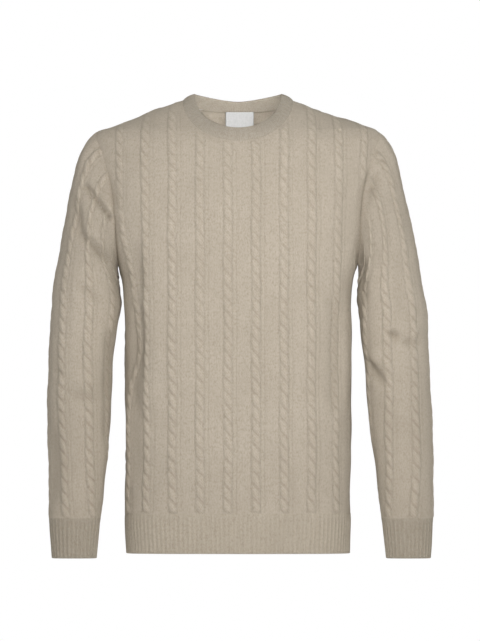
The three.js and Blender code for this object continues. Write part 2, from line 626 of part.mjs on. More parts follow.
/** The front or back panel, from the hem rib to the shoulder seams, armholes and neckline. */
function torsoPanel(face, shift) {
  const bottomZ = HEM_SEAM_Z + HALF_GAP;
  const seamY = face * HALF_GAP;
  const mirrored = (v) => new THREE.Vector3(-v.x, v.y, v.z);
  const made = (point, normal, thickness) => {
    if (Math.abs(point.y) < HALF_GAP) point.setY(seamY);
    const edge = clothPoint(point, normal, 0, point.z);
    return Object.assign(edge, { thickness, wale: arcOfX(face, point.x, point.z) });
  };
  const plainEdge = (point) => made(point, torsoNormal(face, point), WALL);
  const shoulder = Array.from({ length: SHOULDER_STEPS - 1 }, (_, i) => {
    const z = SHOULDER_Z * (1 - (i + 1) / SHOULDER_STEPS);
    return new THREE.Vector3(torsoHalf(z), 0, z);
  });
  const farEdge = [
    ...armholes[face].map((e) => made(mirrored(e.point), mirrored(e.normal), e.thickness)).reverse(),
    ...shoulder.map(mirrored).map(plainEdge),
    ...necklines[face].map(plainEdge),
    ...shoulder.slice().reverse().map(plainEdge),
    ...armholes[face].map((e) => made(e.point.clone(), e.normal, e.thickness)),
  ];
  const sideLevels = evenLevels(bottomZ, UNDERARM_Z, EDGE_STEP);
  const sideChain = (side, end) => [...sideLevels.slice(0, -1).map((z) => {
    const point = new THREE.Vector3(side * torsoHalf(z), seamY, z);
    return clothPoint(point, torsoNormal(face, point), 0, z);
  }), end];
  const centreOf = (i) => (i - BODY_CABLES + 0.5) * CABLE_PITCH + shift;
  const centres = Array.from({ length: 2 * BODY_CABLES }, (_, i) => centreOf(i));
  const cables = cableColumns(centres, -face).filter((c) => Math.abs(c.wale) < BODY_LAST);
  const plain = [-BODY_PLAIN, BODY_PLAIN].map((wale) => ({ wale, kind: 'plain', lined: true }));
  const middle = [...cables, ...plain].sort((a, b) => a.wale - b.wale);
  const columns = [{ chain: sideChain(-1, farEdge[0]), end: 0 }];
  for (const column of middle) {
    const surface = (z) => {
      const point = torsoPoint(face, column.wale, z);
      return { point, normal: torsoNormal(face, point) };
    };
    const hit = edgeIndex(farEdge, column.wale, columns.at(-1).end);
    const start = surface(bottomZ);
    const first = clothPoint(start.point, level(start.normal), 0, bottomZ);
    fillColumn(column, surface, {
      from: bottomZ, to: hit.along, first, last: farEdge[hit.index], seamShare: () => 1,
    });
    columns.push({ ...column, end: hit.index });
  }
  columns.push({ chain: sideChain(1, farEdge.at(-1)), end: farEdge.length - 1 });
  for (const side of [columns[0], columns.at(-1)]) {
    Object.assign(side, { outside: side.chain, inside: side.chain, lined: true });
  }
  const startEdge = columns.map((column) => column.outside[0]);
  columns.forEach((column, i) => { column.start = i; });
  const wall = new Wall(WALL);
  panelWall(wall, columns, startEdge, farEdge);
  wall.rim(startEdge);
  wall.rim(columns.at(-1).chain);
  wall.rim(farEdge.slice().reverse());
  wall.rim(columns[0].chain.slice().reverse());
  return wall.geometry();
}

function evenLevels(from, to, step) {
  const count = Math.max(1, Math.round(Math.abs(to - from) / step));
  return Array.from({ length: count + 1 }, (_, i) => from + ((to - from) * i) / count);
}

/** One sleeve, from the armhole to the cuff, closed along its seam under the arm. */
function sleeve(side) {
  const placed = (v) => new THREE.Vector3(v.x * side, v.y, v.z);
  const hung = (v) => new THREE.Vector3(v.x * side + sway[side](v.z), v.y, v.z);
  const surface = (down, angle) => ({
    point: hung(sleeveSurface(down, angle)), normal: placed(sleeveNormal(down, angle)),
  });
  const reach = (down) => halfRing(down).at(-1).arc;
  const startEdge = [];
  for (let i = -ARMHOLE_STEPS; i <= ARMHOLE_STEPS; i += 1) {
    const edge = armholes[i < 0 ? 1 : -1][Math.abs(i)];
    const made = clothPoint(placed(edge.point), placed(edge.normal), 0, 0);
    made.place.addScaledVector(placed(edge.across), SEAM_GAP);
    made.wale = Math.sign(i) * waleOfAngle(edge.angle);
    made.thickness = edge.thickness;
    startEdge.push(made);
  }
  startEdge[startEdge.length - 1] = startEdge[0];
  const end = SLEEVE_END - HALF_GAP;
  const seam = evenLevels(0, end, EDGE_STEP).slice(1).map((down) => {
    const { point, normal } = surface(down, Math.PI);
    return clothPoint(point, down === end ? level(normal) : normal, 0, down);
  });
  const shift = side > 0 ? SLEEVE_SHIFT.left : SLEEVE_SHIFT.right;
  const count = 2 * SLEEVE_CABLES + 1;
  const centres = Array.from({ length: count }, (_, i) => (i - SLEEVE_CABLES) * CABLE_PITCH + shift);
  const plain = SLEEVE_PLAIN.flatMap((wale) => [wale, -wale])
    .map((wale) => ({ wale, kind: 'plain', lined: true }));
  const middle = [...cableColumns(centres, side), ...plain].sort((a, b) => a.wale - b.wale);
  const cuffRing = middle.filter((c) => Math.abs(c.wale) < reach(end) - RIB_EDGE).map(({ wale }) => {
    const { point, normal } = surface(end, sleeveAngle(wale, end));
    return Object.assign(clothPoint(point, level(normal), 0, end), { wale });
  });
  const seamSide = (sign) => [startEdge[0], ...seam].map((p) => ({ point: p, wale: sign * reach(p.along) }));
  const edgeWales = [
    ...seamSide(-1), ...cuffRing.map((p) => ({ point: p, wale: p.wale })), ...seamSide(1).reverse(),
  ];
  const farEdge = edgeWales.map(({ point }) => point);
  const endOf = (wale, minimum) => {
    const exact = cuffRing.findIndex((p) => p.wale === wale);
    if (exact >= 0) return { along: end, index: seam.length + 1 + exact };
    return edgeIndex(edgeWales.map((e) => ({ wale: e.wale, along: e.point.along })), wale, minimum);
  };
  const columns = [{ outside: [startEdge[0]], inside: [startEdge[0]], lined: true, start: 0, end: 0 }];
  for (const column of middle) {
    const previous = columns.at(-1);
    const nearest = startEdge.slice(0, -1).reduce((best, p, i) => (
      Math.abs(p.wale - column.wale) < Math.abs(startEdge[best].wale - column.wale) ? i : best), 1);
    const hit = endOf(column.wale, previous.end);
    fillColumn(column, (down) => surface(down, sleeveAngle(column.wale, down)), {
      from: 0, to: hit.along, first: startEdge[nearest], last: farEdge[hit.index],
      seamShare: (down) => smoothStep(SEAM_FADE.flat, SEAM_FADE.full, reach(down) - Math.abs(column.wale)),
    });
    columns.push({ ...column, start: Math.max(previous.start, nearest), end: hit.index });
  }
  columns.push({ ...columns[0], start: startEdge.length - 1, end: farEdge.length - 1 });
  const wall = new Wall(WALL);
  panelWall(wall, columns, startEdge, farEdge);
  wall.rim(startEdge);
  wall.rim([seam.at(-1), ...cuffRing, seam.at(-1)].reverse());
  return wall.geometry();
}

/** A wall made of rows of points, ribbed outside and plain inside. Closed rows make a ring. */
function ribbedWall(outsideRows, insideRows, thickness, closed) {
  const wall = new Wall(thickness);
  const looped = (row) => (closed ? [...row, row[0]] : row);
  const out = outsideRows.map(looped);
  const inn = insideRows.map(looped);
  const outside = new Set(out.flat());
  const either = (p) => (outside.has(p) ? wall.out(p) : wall.in(p));
  for (let r = 0; r < out.length - 1; r += 1) wall.zip(out[r + 1], out[r], either);
  for (let r = 0; r < inn.length - 1; r += 1) wall.zip(inn[r + 1], inn[r], either, true);
  wall.zip(out[0], inn[0], either);
  wall.zip(inn.at(-1), out.at(-1), either);
  if (!closed) {
    const column = (rows, i) => rows.map((row) => row.at(i));
    wall.zip(column(inn, 0), column(out, 0), either);
    wall.zip(column(out, -1), column(inn, -1), either);
  }
  return wall.geometry();
}

const INSIDE_PER_RIB = { hem: 0.4, cuff: 0.7 };  // points of the plain inside for each rib

/** Half of the hem rib, below the front or the back panel. */
function hemRib(face) {
  const levels = [HEM_SEAM_Z - HALF_GAP, (HEM_SEAM_Z + HEM_Z) / 2, HEM_Z];
  const ribs = Math.round((2 * slice(face, HEM_SEAM_Z).at(-1).arc) / RIB_PITCH);
  const row = (z, perRib, relief) => {
    const half = slice(face, z).at(-1).arc;
    const count = Math.round(ribs * perRib);
    return Array.from({ length: count + 1 }, (_, i) => {
      const isEnd = i === 0 || i === count;
      const point = torsoPoint(face, -half + (2 * half * i) / count, z);
      if (isEnd) point.y = face * HALF_GAP;
      const isRidge = !isEnd && i % 2 === 1;
      return clothPoint(point, torsoNormal(face, point), isRidge ? relief : 0);
    });
  };
  const outside = levels.map((z) => row(z, 2, RIB_HEIGHT));
  const inside = levels.map((z) => row(z, INSIDE_PER_RIB.hem, 0));
  return ribbedWall(outside, inside, WALL, false);
}

/** One cuff, a ribbed tube below a sleeve. */
function cuff(side) {
  const levels = [CUFF_SEAM_Z - HALF_GAP, (CUFF_SEAM_Z + CUFF_Z) / 2, CUFF_Z];
  const downOf = (z) => SLEEVE_END + CUFF_SEAM_Z - z;
  const girth = 2 * halfRing(downOf(levels[1])).at(-1).arc;
  const ribs = Math.round(girth / RIB_PITCH);
  const row = (z, count, relief) => Array.from({ length: count }, (_, i) => {
    const down = downOf(z);
    const half = halfRing(down).at(-1).arc;
    const angle = sleeveAngle(-half + (2 * half * i) / count, down);
    const ring = sleeveRing(down, angle);
    const point = new THREE.Vector3(ring.x * side + sway[side](z), ring.y, z);
    const normal = sleeveNormal(down, angle);
    normal.set(normal.x * side, normal.y, 0).normalize();
    return clothPoint(point, normal, i % 2 === 1 ? relief : 0);
  });
  const outside = levels.map((z) => row(z, 2 * ribs, RIB_HEIGHT));
  const inside = levels.map((z) => row(z, Math.round(ribs * INSIDE_PER_RIB.cuff), 0));
  return ribbedWall(outside, inside, WALL, true);
}

/** The neckband's free edge: angle 0 is the middle of the front and pi the middle of the back. */
function bandTopPoint(angle) {
  const c = Math.cos(angle);
  const sine = Math.sin(angle);
  const reach = c > 0 ? BAND_TOP.frontY : BAND_TOP.backY;
  const rise = (s) => (s * s + BACK_CURVE.blunt ** 2) ** (BACK_CURVE.power / 2);
  const backDip = BAND_TOP.backDrop * (1 - (rise(sine) - rise(0)) / (rise(1) - rise(0)));
  const dip = c > 0 ? BAND_TOP.frontDrop * c : backDip;
  return new THREE.Vector3(BAND_TOP.half * sine, -reach * c, BAND_TOP.z - dip);
}

/** The ribbed neckband, a ring that stands on the neckline and leans in to its free edge. */
function neckband() {
  const joined = (front, back) => [...front.slice(0, -1), ...back.slice(1).reverse()];
  const seamLine = joined(necklines['-1'], necklines[1]);
  const topLine = joined(
    evenPoints((t) => bandTopPoint((t - 0.5) * Math.PI), NECK_STEPS['-1']),
    evenPoints((t) => bandTopPoint(Math.PI * (1.5 - t)), NECK_STEPS[1]),
  );
  const withMiddles = (points) => points.flatMap((p, i) => [
    p, p.clone().add(points[(i + 1) % points.length]).multiplyScalar(0.5)]);
  const rowAt = (share, seamPoints, topPoints, relief) => seamPoints.map((low, i) => {
    const up = topPoints[i].clone().sub(low);
    const around = seamPoints[(i + 1) % seamPoints.length].clone().sub(seamPoints.at(i - 1));
    const leaning = around.cross(up).normalize();
    const normal = torsoNormal(low.y < 0 ? -1 : 1, low)
      .lerp(leaning, smoothStep(0, BAND.turned, share)).normalize();
    const bulge = BAND.bulge * Math.sin(Math.PI * share) - BAND.tuck * share;
    const place = low.clone().addScaledVector(up, share).addScaledVector(leaning, bulge);
    if (share === 0) place.addScaledVector(up.normalize(), SEAM_GAP);
    return { place, normal, relief: i % 2 === 1 ? relief * (1 - BAND.flatter * share) : 0 };
  });
  const shares = BAND.shares.slice().reverse();
  const [seamRibs, topRibs] = [withMiddles(seamLine), withMiddles(topLine)];
  const outside = shares.map((share) => rowAt(share, seamRibs, topRibs, RIB_HEIGHT));
  const inside = shares.map((share) => rowAt(share, seamLine, topLine, 0));
  return ribbedWall(outside, inside, BAND_WALL, true);
}

/** The blank woven label that hangs straight down inside the back of the neck. */
function label() {
  const columns = 6;
  const rows = 4;
  const normal = new THREE.Vector3(0, 1, LABEL.hang).normalize();
  const line = (share) => Array.from({ length: columns + 1 }, (_, i) => {
    const x = LABEL.centreX + LABEL.width * (i / columns - 0.5);
    const drop = LABEL.height * share;
    const y = LABEL.topY + LABEL.hang * drop - LABEL_BEND * x * x;
    return { place: new THREE.Vector3(x, y, LABEL.topZ - drop), normal, relief: 0 };
  });
  const levels = Array.from({ length: rows + 1 }, (_, i) => line(i / rows));
  return ribbedWall(levels, levels.map((row) => row.map((p) => ({ ...p }))), LABEL.thick, false);
}

const knit = new THREE.MeshStandardMaterial({ color: 0xb9ad9a, roughness: 0.95, metalness: 0 });
const rib = new THREE.MeshStandardMaterial({ color: 0xb2a693, roughness: 0.95, metalness: 0 });
const satin = new THREE.MeshStandardMaterial({ color: 0xe6e5e2, roughness: 0.55, metalness: 0 });

const sweater = new THREE.Group();

function addPiece(name, geometry, material) {
  const mesh = new THREE.Mesh(geometry, material);
  mesh.name = name;
  sweater.add(mesh);
}

addPiece('front_panel', torsoPanel(-1, FRONT_SHIFT), knit);
addPiece('back_panel', torsoPanel(1, 0), knit);
addPiece('sleeve_left', sleeve(1), knit);
addPiece('sleeve_right', sleeve(-1), knit);
addPiece('hem_rib_front', hemRib(-1), rib);
addPiece('hem_rib_back', hemRib(1), rib);
addPiece('cuff_left', cuff(1), rib);
addPiece('cuff_right', cuff(-1), rib);
addPiece('neckband', neckband(), rib);
addPiece('neck_label', label(), satin);

export default sweater;
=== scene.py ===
import bpy
import numpy as np
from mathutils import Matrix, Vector


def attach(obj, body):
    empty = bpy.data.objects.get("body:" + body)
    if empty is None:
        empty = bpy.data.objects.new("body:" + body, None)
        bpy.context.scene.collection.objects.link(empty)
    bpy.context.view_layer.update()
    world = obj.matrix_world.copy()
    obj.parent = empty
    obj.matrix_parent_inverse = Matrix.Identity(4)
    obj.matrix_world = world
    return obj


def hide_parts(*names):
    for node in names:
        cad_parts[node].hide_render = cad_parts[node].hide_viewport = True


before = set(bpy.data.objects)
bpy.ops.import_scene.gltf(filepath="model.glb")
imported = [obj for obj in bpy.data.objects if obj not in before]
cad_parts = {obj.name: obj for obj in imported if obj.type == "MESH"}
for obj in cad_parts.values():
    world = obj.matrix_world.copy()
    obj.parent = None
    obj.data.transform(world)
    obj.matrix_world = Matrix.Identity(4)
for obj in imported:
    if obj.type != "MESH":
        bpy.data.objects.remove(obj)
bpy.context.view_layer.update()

FRONT, BACK = -1, 1
LEFT, RIGHT = 1, -1
METRES = 0.001

# Sizes shared with the CAD
WALL = 2.4  # thickness of the knitted cloth
BAND_WALL = 3.4  # the neckband is knitted double
HEM_SEAM_Z = -619
HEM_Z = -679
CUFF_SEAM_Z = -626
CUFF_Z = -686
SHOULDER_Z = -45
UNDERARM_Z = -254
ARMHOLE_MID = (SHOULDER_Z + UNDERARM_Z) / 2
ARMHOLE_HALF = (SHOULDER_Z - UNDERARM_Z) / 2
ARMHOLE_DEPTH = 56
ARMHOLE_TAPER = 0.25
NECK_HALF = 83
NECK_DROP = {FRONT: 61, BACK: 17}
BAND_TOP = {"half": 65, "z": 10.5, "front_y": 71, "back_y": 60, "front_drop": 51, "back_drop": 11}
CABLE_PITCH = 42
CROSSING = 20  # height from one crossing of the strands to the next
FRONT_SHIFT = 6  # how far the front's cables lie to the wearer's left
SLEEVE_SHIFT = {LEFT: 10, RIGHT: 6}  # how far the sleeves' cables are turned to the front
SLEEVE_POWER = 2.15
ARMHOLE_BLEND = 75  # the length over which the armhole's shape turns into the sleeve's rings
RIB_PITCH = 7
RIB_HEIGHT = 1.1
LABEL = {"width": 42, "height": 28, "thick": 0.7, "centre_x": 2.5, "top_z": -16.5, "top_y": 67.2}
LABEL_HANG = 0.12  # how far the label leans back as it hangs down
LABEL_BEND = 0.0022
BACK_CURVE = {"power": 1.3, "blunt": 0.15}

# The knitting
WALE = 2.33  # width of one stitch column
COURSE = 1.8  # height of one stitch
ROPE_HALF = 7.0  # half the width of a cable
ROPE_WAIST = 0.84  # share of that width between the bulges of the strands
ROPE_HEIGHT = 2.7
ROPE_LOW = 0.3  # share of that height in the grooves between strands
STRAND_WIDTH = 10.9
WANDER = {"reach": 0.5, "length": 27}  # how a cable strays from its straight line
PACE = {"length": 31, "start": 1.7}  # how its crossings come sooner and later
UNEVEN = {"share": 0.1, "length": 13}  # how its height varies
DITCH = {"at": 7.4, "width": 1.4, "depth": 0.15, "shade": 0.12}  # at both edges of a cable
GROOVE = {"at": 13.0, "width": 0.8, "depth": 0.5, "shade": 0.5}  # the line to the right of it
LOW_RIDGES = {"at": (-9.6, 10.2), "width": 1.0, "height": 0.2}
BODY_LAST = 208  # no cable on the front or back lies further out than this
ARMPIT = {"top_z": -130, "flat": 3, "full": 17}  # how near the armhole's edge the cables run out
ARMHOLE_SEAM = {"depth": 1.6, "width": 3.5, "shade": 0.9}
SEAM_DIPS = {"side": (0.4, 3), "neck": (0.2, 3), "hem": (0.1, 4)}  # depth and width
RUN_OUT = {"seam": (0.3, 4), "side": (3, 20)}  # where the cables rise to their height
# Painted shade that darkens the wool towards the hem and the cuffs
LOW_SHADE = {"body": (0.2, -480, -600), "sleeve": (0.45, -320, -520)}  # darker to the hem and cuffs
SLACK = 0.01  # keeps the grids' first and last rows
SHARED_NORMAL = 9  # how far from the armhole's edge torso and sleeve begin to share a normal
DRAWN_IN = 26  # how far the side fold draws the cable beside it towards the middle

# The ribs
RIB_STEPS = 8  # points across each rib
RIB_STEEP = 1.8
RIB_NARROW = 0.35  # makes the ribs' tops a little narrower than the channels
RIB_SHADE = 0.45
RIB_SWELL = 0.5  # how much of the cloth's slow swells the ribs take
INNER_RIBS = -0.25  # share of the ribs' height on a band's inner side, where they point inwards
HEM_RIBS = 0.75  # share of the ribs' height that the hem has
NECK_RIBS = {"outer": 0.4, "edge": 0.6, "inner": -0.3}
HEM_SUNK = 0.5  # how far the ribs' channels lie inside the cloth above
CUFF_SUNK = 1.6
BAND_RIBS = {FRONT: 36, BACK: 30}
JOIN_SUNK = 1.2  # how deep the join of the neckband's two ends lies

# The grids
BODY_REACH = 252  # more than half the width of any panel
SLEEVE_REACH = 240  # more than half the girth of any sleeve
PLAIN_STEP = 6.0
RING_STEP = 2.0
HALVINGS = 14  # how often the search for a cut halves its step
SNAP = 0.25  # a cut nearer to a point of the grid than this share of a step moves the point

TORSO_COLUMNS = ("z", "half", "front", "back", "power")
TORSO = [
    (-700, 166.5, 97, 95, 2.9),
    (-619, 169.5, 101, 99, 3.0),
    (-540, 169.5, 99, 98, 3.0),
    (-450, 169.5, 99, 97, 3.0),
    (-380, 169.5, 101, 97, 3.0),
    (-320, 169.5, 103, 100, 3.0),
    (-290, 170.5, 104, 103, 3.0),
    (-270, 173, 105, 106, 2.9),
    (-254, 178, 105.5, 107, 2.85),
    (-240, 183.5, 106, 108, 2.8),
    (-205, 195, 106, 110, 2.7),
    (-165, 204, 104, 110, 2.55),
    (-120, 211, 97, 105, 2.4),
    (-90, 215, 90, 99, 2.3),
    (-60, 217, 80, 91, 2.15),
    (-45, 208, 71, 86, 2.05),
    (-36, 183, 63, 82, 2.0),
    (-24, 149.7, 52, 76, 2.0),
    (-17, 130.2, 45.5, 72, 2.0),
    (-10, 110.8, 38, 57, 2.0),
    (0, 83, 26, 40, 2.0),
    (12, 50, 16, 26, 2.0),
]

# The left sleeve's rings: outermost and innermost points, half the depth, place of the middle
SLEEVE_COLUMNS = ("outer_x", "outer_z", "inner_x", "inner_z", "depth", "mid_y")
SLEEVE = [
    (208, -45, 178, -254, 56, 0),
    (219, -54, 179, -257, 58, 0),
    (232, -74, 179.7, -260, 59, -1),
    (243.5, -108, 180, -264, 60, -2),
    (254, -150, 180, -269, 60, -3),
    (263, -195, 179.5, -276, 60, -4),
    (271, -243, 178.8, -285, 59, -5),
    (279, -300, 178, -300, 57, -6),
    (283, -345, 184, -345, 55, -8),
    (286, -390, 189, -390, 52, -11),
    (289, -457, 193.5, -457, 48.5, -17),
    (289.5, -525, 199.5, -525, 45, -25),
    (289, -570, 204, -570, 42, -31),
    (288, -626, 210, -626, 37.5, -38),
    (286, -660, 213.5, -660, 34.5, -42),
    (284, -690, 216, -690, 32, -45),
]

# How far each sleeve hangs to the wearer's left of its mirrored place
SWAY_COLUMNS = ("z", "left", "right")
SWAY = [
    (-700, 4.5, 5),
    (-560, 4, 4.5),
    (-500, 2.5, 4.5),
    (-430, 1, 4),
    (-350, 0, 2.5),
    (-312, 1.5, 2.5),
    (-285, 0, 0),
    (-240, -1.5, 0),
    (-150, -3, 0),
    (-90, -1.5, 0),
    (-45, 0, 0),
]

# Folds as soft troughs between two points seen from the front, with a rounded ridge beside each
FOLD_COLUMNS = ("face", "x0", "z0", "x1", "z1", "width", "depth", "ridge")
FOLDS = [
    (FRONT, -157, -200, -140, -300, 12, 1.6, 1.6),
    (FRONT, -147, -304, -149, -368, 11, 2.9, 2.2),
    (FRONT, -149, -340, -159, -470, 14, 4.6, 2.0),
    (FRONT, -152, -440, -152, -575, 12, 2.2, -1.5),
    (FRONT, 144, -285, 145, -470, 12, 3.6, 1.5),
    (FRONT, -189, -340, -193, -520, 11, 4.6, 0.5),
    (FRONT, -277, -480, -277, -610, 13, 2.8, 0.5),
    (FRONT, 240, -215, 242, -330, 17, 2.4, 0.8),
    (FRONT, 181, -205, 188, -310, 7, 2.8, 0.5),
    (FRONT, -245, -150, -235, -214, 9, 4.6, 2.5),
    (FRONT, -240, -196, -192, -246, 7, 5.2, 3.0),
    (FRONT, -231, -125, -186, -183, 4.8, 5.5, 3.0),
    (FRONT, -240, -276, -203, -306, 11, 3.5, 2.5),
    (FRONT, -258, -440, -198, -446, 11, 3.0, 2.0),
    (FRONT, 213, -108, 190, -150, 10, 4.5, -2.0),
    (FRONT, 186, -384, 222, -430, 8, 5.5, 3.5),
    (FRONT, 219, -347, 246, -358, 6.5, 5.0, 2.5),
    (FRONT, 244, -360, 278, -366, 8, 4.6, 2.0),
    (BACK, -130, -230, -136, -400, 12, 3.5, 2.0),
    (BACK, 128, -250, 137, -430, 12, 3.2, -2.0),
    (BACK, -60, -415, 70, -432, 14, 2.8, 2.0),
    (BACK, -226, -205, -198, -262, 12, 4.5, -2.5),
    (BACK, 232, -190, 204, -258, 12, 4.5, 2.5),
    (BACK, -262, -395, -214, -372, 12, 4.0, 2.0),
    (BACK, 264, -405, 212, -384, 12, 4.0, -2.0),
    # Smaller creases that only the visual model has
    (FRONT, -272, -400, -262, -416, 7, 1.4, 0.8),
    (FRONT, 196, -120, 184, -215, 9, 1.8, 1.0),
    (FRONT, 205, -395, 250, -430, 8, 1.4, 1.0),
    (FRONT, -148, -250, -152, -330, 8, 1.4, 0.8),
    (FRONT, 96, -560, 150, -600, 9, 1.0, 0.6),
    (FRONT, -110, -575, -150, -606, 9, 1.0, 0.6),
    (BACK, 60, -470, 120, -450, 9, 1.6, 1.0),
    (BACK, -130, -455, -50, -475, 9, 1.6, 1.0),
    (BACK, -180, -120, -160, -190, 9, 1.6, 1.0),
    (BACK, 178, -125, 160, -200, 9, 1.6, -1.0),
]

# Slow swells of the cloth: wavelengths, direction and height
SWELL_COLUMNS = ("length", "lean", "start", "height")
SWELLS = [
    (150, 0.35, 0.4, 0.9),
    (97, -0.6, 2.1, 0.6),
    (61, 0.9, 4.0, 0.35),
    (43, -0.2, 1.2, 0.2),
]
FOLD_SHARE = 1.25  # the worn cloth creases a little deeper than the solids
FOLD_FACING = (0.05, 0.6)  # how far cloth has to face the fold's side to take part in it
FOLD_SHADE = 0.9
DEEPEST_FOLD = 5.5
RIDGE = {"at": 1.7, "spread": 1.6}  # beside the trough, in widths of it


def rows_of(names, rows):
    """A table's rows as dictionaries, one value for each named column."""
    return [dict(zip(names, row)) for row in rows]


torso_rows = rows_of(TORSO_COLUMNS, TORSO)
sleeve_rows = rows_of(SLEEVE_COLUMNS, SLEEVE)
sway_rows = rows_of(SWAY_COLUMNS, SWAY)
fold_rows = rows_of(FOLD_COLUMNS, FOLDS)
swell_rows = rows_of(SWELL_COLUMNS, SWELLS)


def smooth_column(rows, at, column):
    """A smooth function through one column of a table, with slopes that never overshoot."""
    xs = np.array([row[at] for row in rows], float)
    ys = np.array([row[column] for row in rows], float)
    steps = np.diff(ys) / np.diff(xs)
    product = steps[:-1] * steps[1:]
    total = np.where(product > 0, steps[:-1] + steps[1:], 1)
    slopes = np.concatenate([steps[:1], np.where(product > 0, 2 * product / total, 0), steps[-1:]])

    def value(x):
        x = np.asarray(x, float)
        i = np.clip(np.searchsorted(xs, x) - 1, 0, len(xs) - 2)
        width = xs[i + 1] - xs[i]
        t = np.clip((x - xs[i]) / width, 0, 1)
        rise = t * t * (3 - 2 * t)
        start = t * (1 - t) ** 2 * width
        end = t * t * (t - 1) * width
        return ys[i] + (ys[i + 1] - ys[i]) * rise + slopes[i] * start + slopes[i + 1] * end

    return value


def smooth_step(low, high, x):
    t = np.clip((x - low) / (high - low), 0, 1)
    return t * t * (3 - 2 * t)


def bell(x, middle, width):
    return np.exp(-(((x - middle) / width) ** 2))


def unit(vectors):
    return vectors / np.maximum(1e-12, np.linalg.norm(vectors, axis=-1, keepdims=True))


def arc_length(points):
    """Distance along a line of points, at each of them."""
    steps = np.linalg.norm(np.diff(points, axis=0), axis=1)
    return np.concatenate([[0], np.cumsum(steps)])


def fold_relief(points, normals):
    """How far the folds move points of the cloth out along its normal, and their shade."""
    height = np.zeros(len(points))
    shade = np.zeros(len(points))
    for fold in fold_rows:
        facing = smooth_step(*FOLD_FACING, normals[:, 1] * fold["face"])
        run = np.array([fold["x1"] - fold["x0"], fold["z1"] - fold["z0"]], float)
        length = np.hypot(*run)
        along_x, along_z = run / length
        dx = points[:, 0] - fold["x0"]
        dz = points[:, 2] - fold["z0"]
        along = dx * along_x + dz * along_z
        across = (dz * along_x - dx * along_z) / fold["width"]
        ends = min(0.45 * length, 2.5 * fold["width"])
        begun = smooth_step(-0.3 * ends, ends, along)
        ended = smooth_step(length - ends, length + 0.3 * ends, along)
        trough = -fold["depth"] * bell(across, 0, 1)
        side = np.sign(fold["ridge"])
        ridge = abs(fold["ridge"]) * np.exp(-((side * across - RIDGE["at"]) ** 2) / RIDGE["spread"])
        share = facing * begun * (1 - ended)
        height += FOLD_SHARE * share * (trough + ridge)
        bottom = bell(1.5 * across, 0, 1) * fold["depth"] / DEEPEST_FOLD
        shade = np.maximum(shade, share * bottom)
    return height, FOLD_SHADE * shade


def swell_height(points):
    """Slow unevenness of the hanging cloth."""
    height = np.zeros(len(points))
    for swell in swell_rows:
        way = points[:, 0] + swell["lean"] * points[:, 2] + 0.5 * points[:, 1]
        height += swell["height"] * np.sin(2 * np.pi * way / swell["length"] + swell["start"])
    return height


# The torso's surface
torso_half = smooth_column(torso_rows, "z", "half")
torso_power = smooth_column(torso_rows, "z", "power")
torso_depth = {
    FRONT: smooth_column(torso_rows, "z", "front"),
    BACK: smooth_column(torso_rows, "z", "back"),
}
SLICE_Z = np.arange(-700.0, 12.5)
SHARES = np.linspace(0, 1, 257)


def slice_table(face):
    """Quarters of the torso's slices, at even distances round each, and their lengths."""
    angle = np.linspace(0, np.pi / 2, 129)
    xs, ys, lengths = [], [], []
    for z in SLICE_Z:
        power = 2 / torso_power(z)
        x = torso_half(z) * np.sin(angle) ** power
        y = torso_depth[face](z) * np.cos(angle).clip(0) ** power
        arc = arc_length(np.stack([x, y], axis=1))
        xs.append(np.interp(SHARES * arc[-1], arc, x))
        ys.append(np.interp(SHARES * arc[-1], arc, y))
        lengths.append(arc[-1])
    return np.array(xs), np.array(ys), np.array(lengths)


slices = {face: slice_table(face) for face in (FRONT, BACK)}


def looked_up(table, row, column):
    """Values between the entries of a table, at fractional rows and columns."""
    row = np.clip(row, 0, table.shape[0] - 1.000001)
    column = np.clip(column, 0, table.shape[1] - 1.000001)
    i, j = row.astype(int), column.astype(int)
    a, b = row - i, column - j
    low = table[i, j] * (1 - b) + table[i, j + 1] * b
    high = table[i + 1, j] * (1 - b) + table[i + 1, j + 1] * b
    return low * (1 - a) + high * a


def torso_reach(face, z):
    """Distance round a slice from the middle of the front or back to the side."""
    return np.interp(z, SLICE_Z, slices[face][2])


def torso_points(face, wale, z):
    xs, ys, _ = slices[face]
    share = np.abs(wale) / torso_reach(face, z) * (len(SHARES) - 1)
    row = z - SLICE_Z[0]
    x = np.sign(wale) * looked_up(xs, row, share)
    return np.stack([x, face * looked_up(ys, row, share), z + 0 * x], axis=-1)


def torso_normals(face, points):
    def outline(x, y, z):
        power = torso_power(z)
        return (np.abs(x) / torso_half(z)) ** power + (np.abs(y) / torso_depth[face](z)) ** power

    steps = 0.05 * np.eye(3)
    slopes = [outline(*(points + step).T) - outline(*(points - step).T) for step in steps]
    return unit(np.stack(slopes, axis=-1))


def torso_x(face, y, z):
    power = torso_power(z)
    share = np.minimum(1, np.abs(y) / torso_depth[face](z))
    return torso_half(z) * (1 - share**power) ** (1 / power)


def torso_y(face, x, z):
    power = torso_power(z)
    share = np.minimum(1, np.abs(x) / torso_half(z))
    return face * torso_depth[face](z) * (1 - share**power) ** (1 / power)


def armhole_points(face, angle):
    """The left armhole's edge: angle 0 is the shoulder point and pi is the underarm."""
    z = ARMHOLE_MID + ARMHOLE_HALF * np.cos(angle)
    y = ARMHOLE_DEPTH * np.sin(angle) * (1 - ARMHOLE_TAPER * np.cos(angle))
    return np.stack([torso_x(face, y, z), face * y, z], axis=-1)


def neckline_points(face, angle):
    """The neckline's edge: angle 0 is the middle, and +-pi/2 are the shoulder seams."""
    x = NECK_HALF * np.sin(angle)
    z = -NECK_DROP[face] * np.cos(angle)
    return np.stack([x, torso_y(face, x, z), z], axis=-1)


def by_face(is_front, function, *values):
    """Points or normals that a function gives for the front, or for the back, of each value."""
    return np.where(is_front[..., None], function(FRONT, *values), function(BACK, *values))


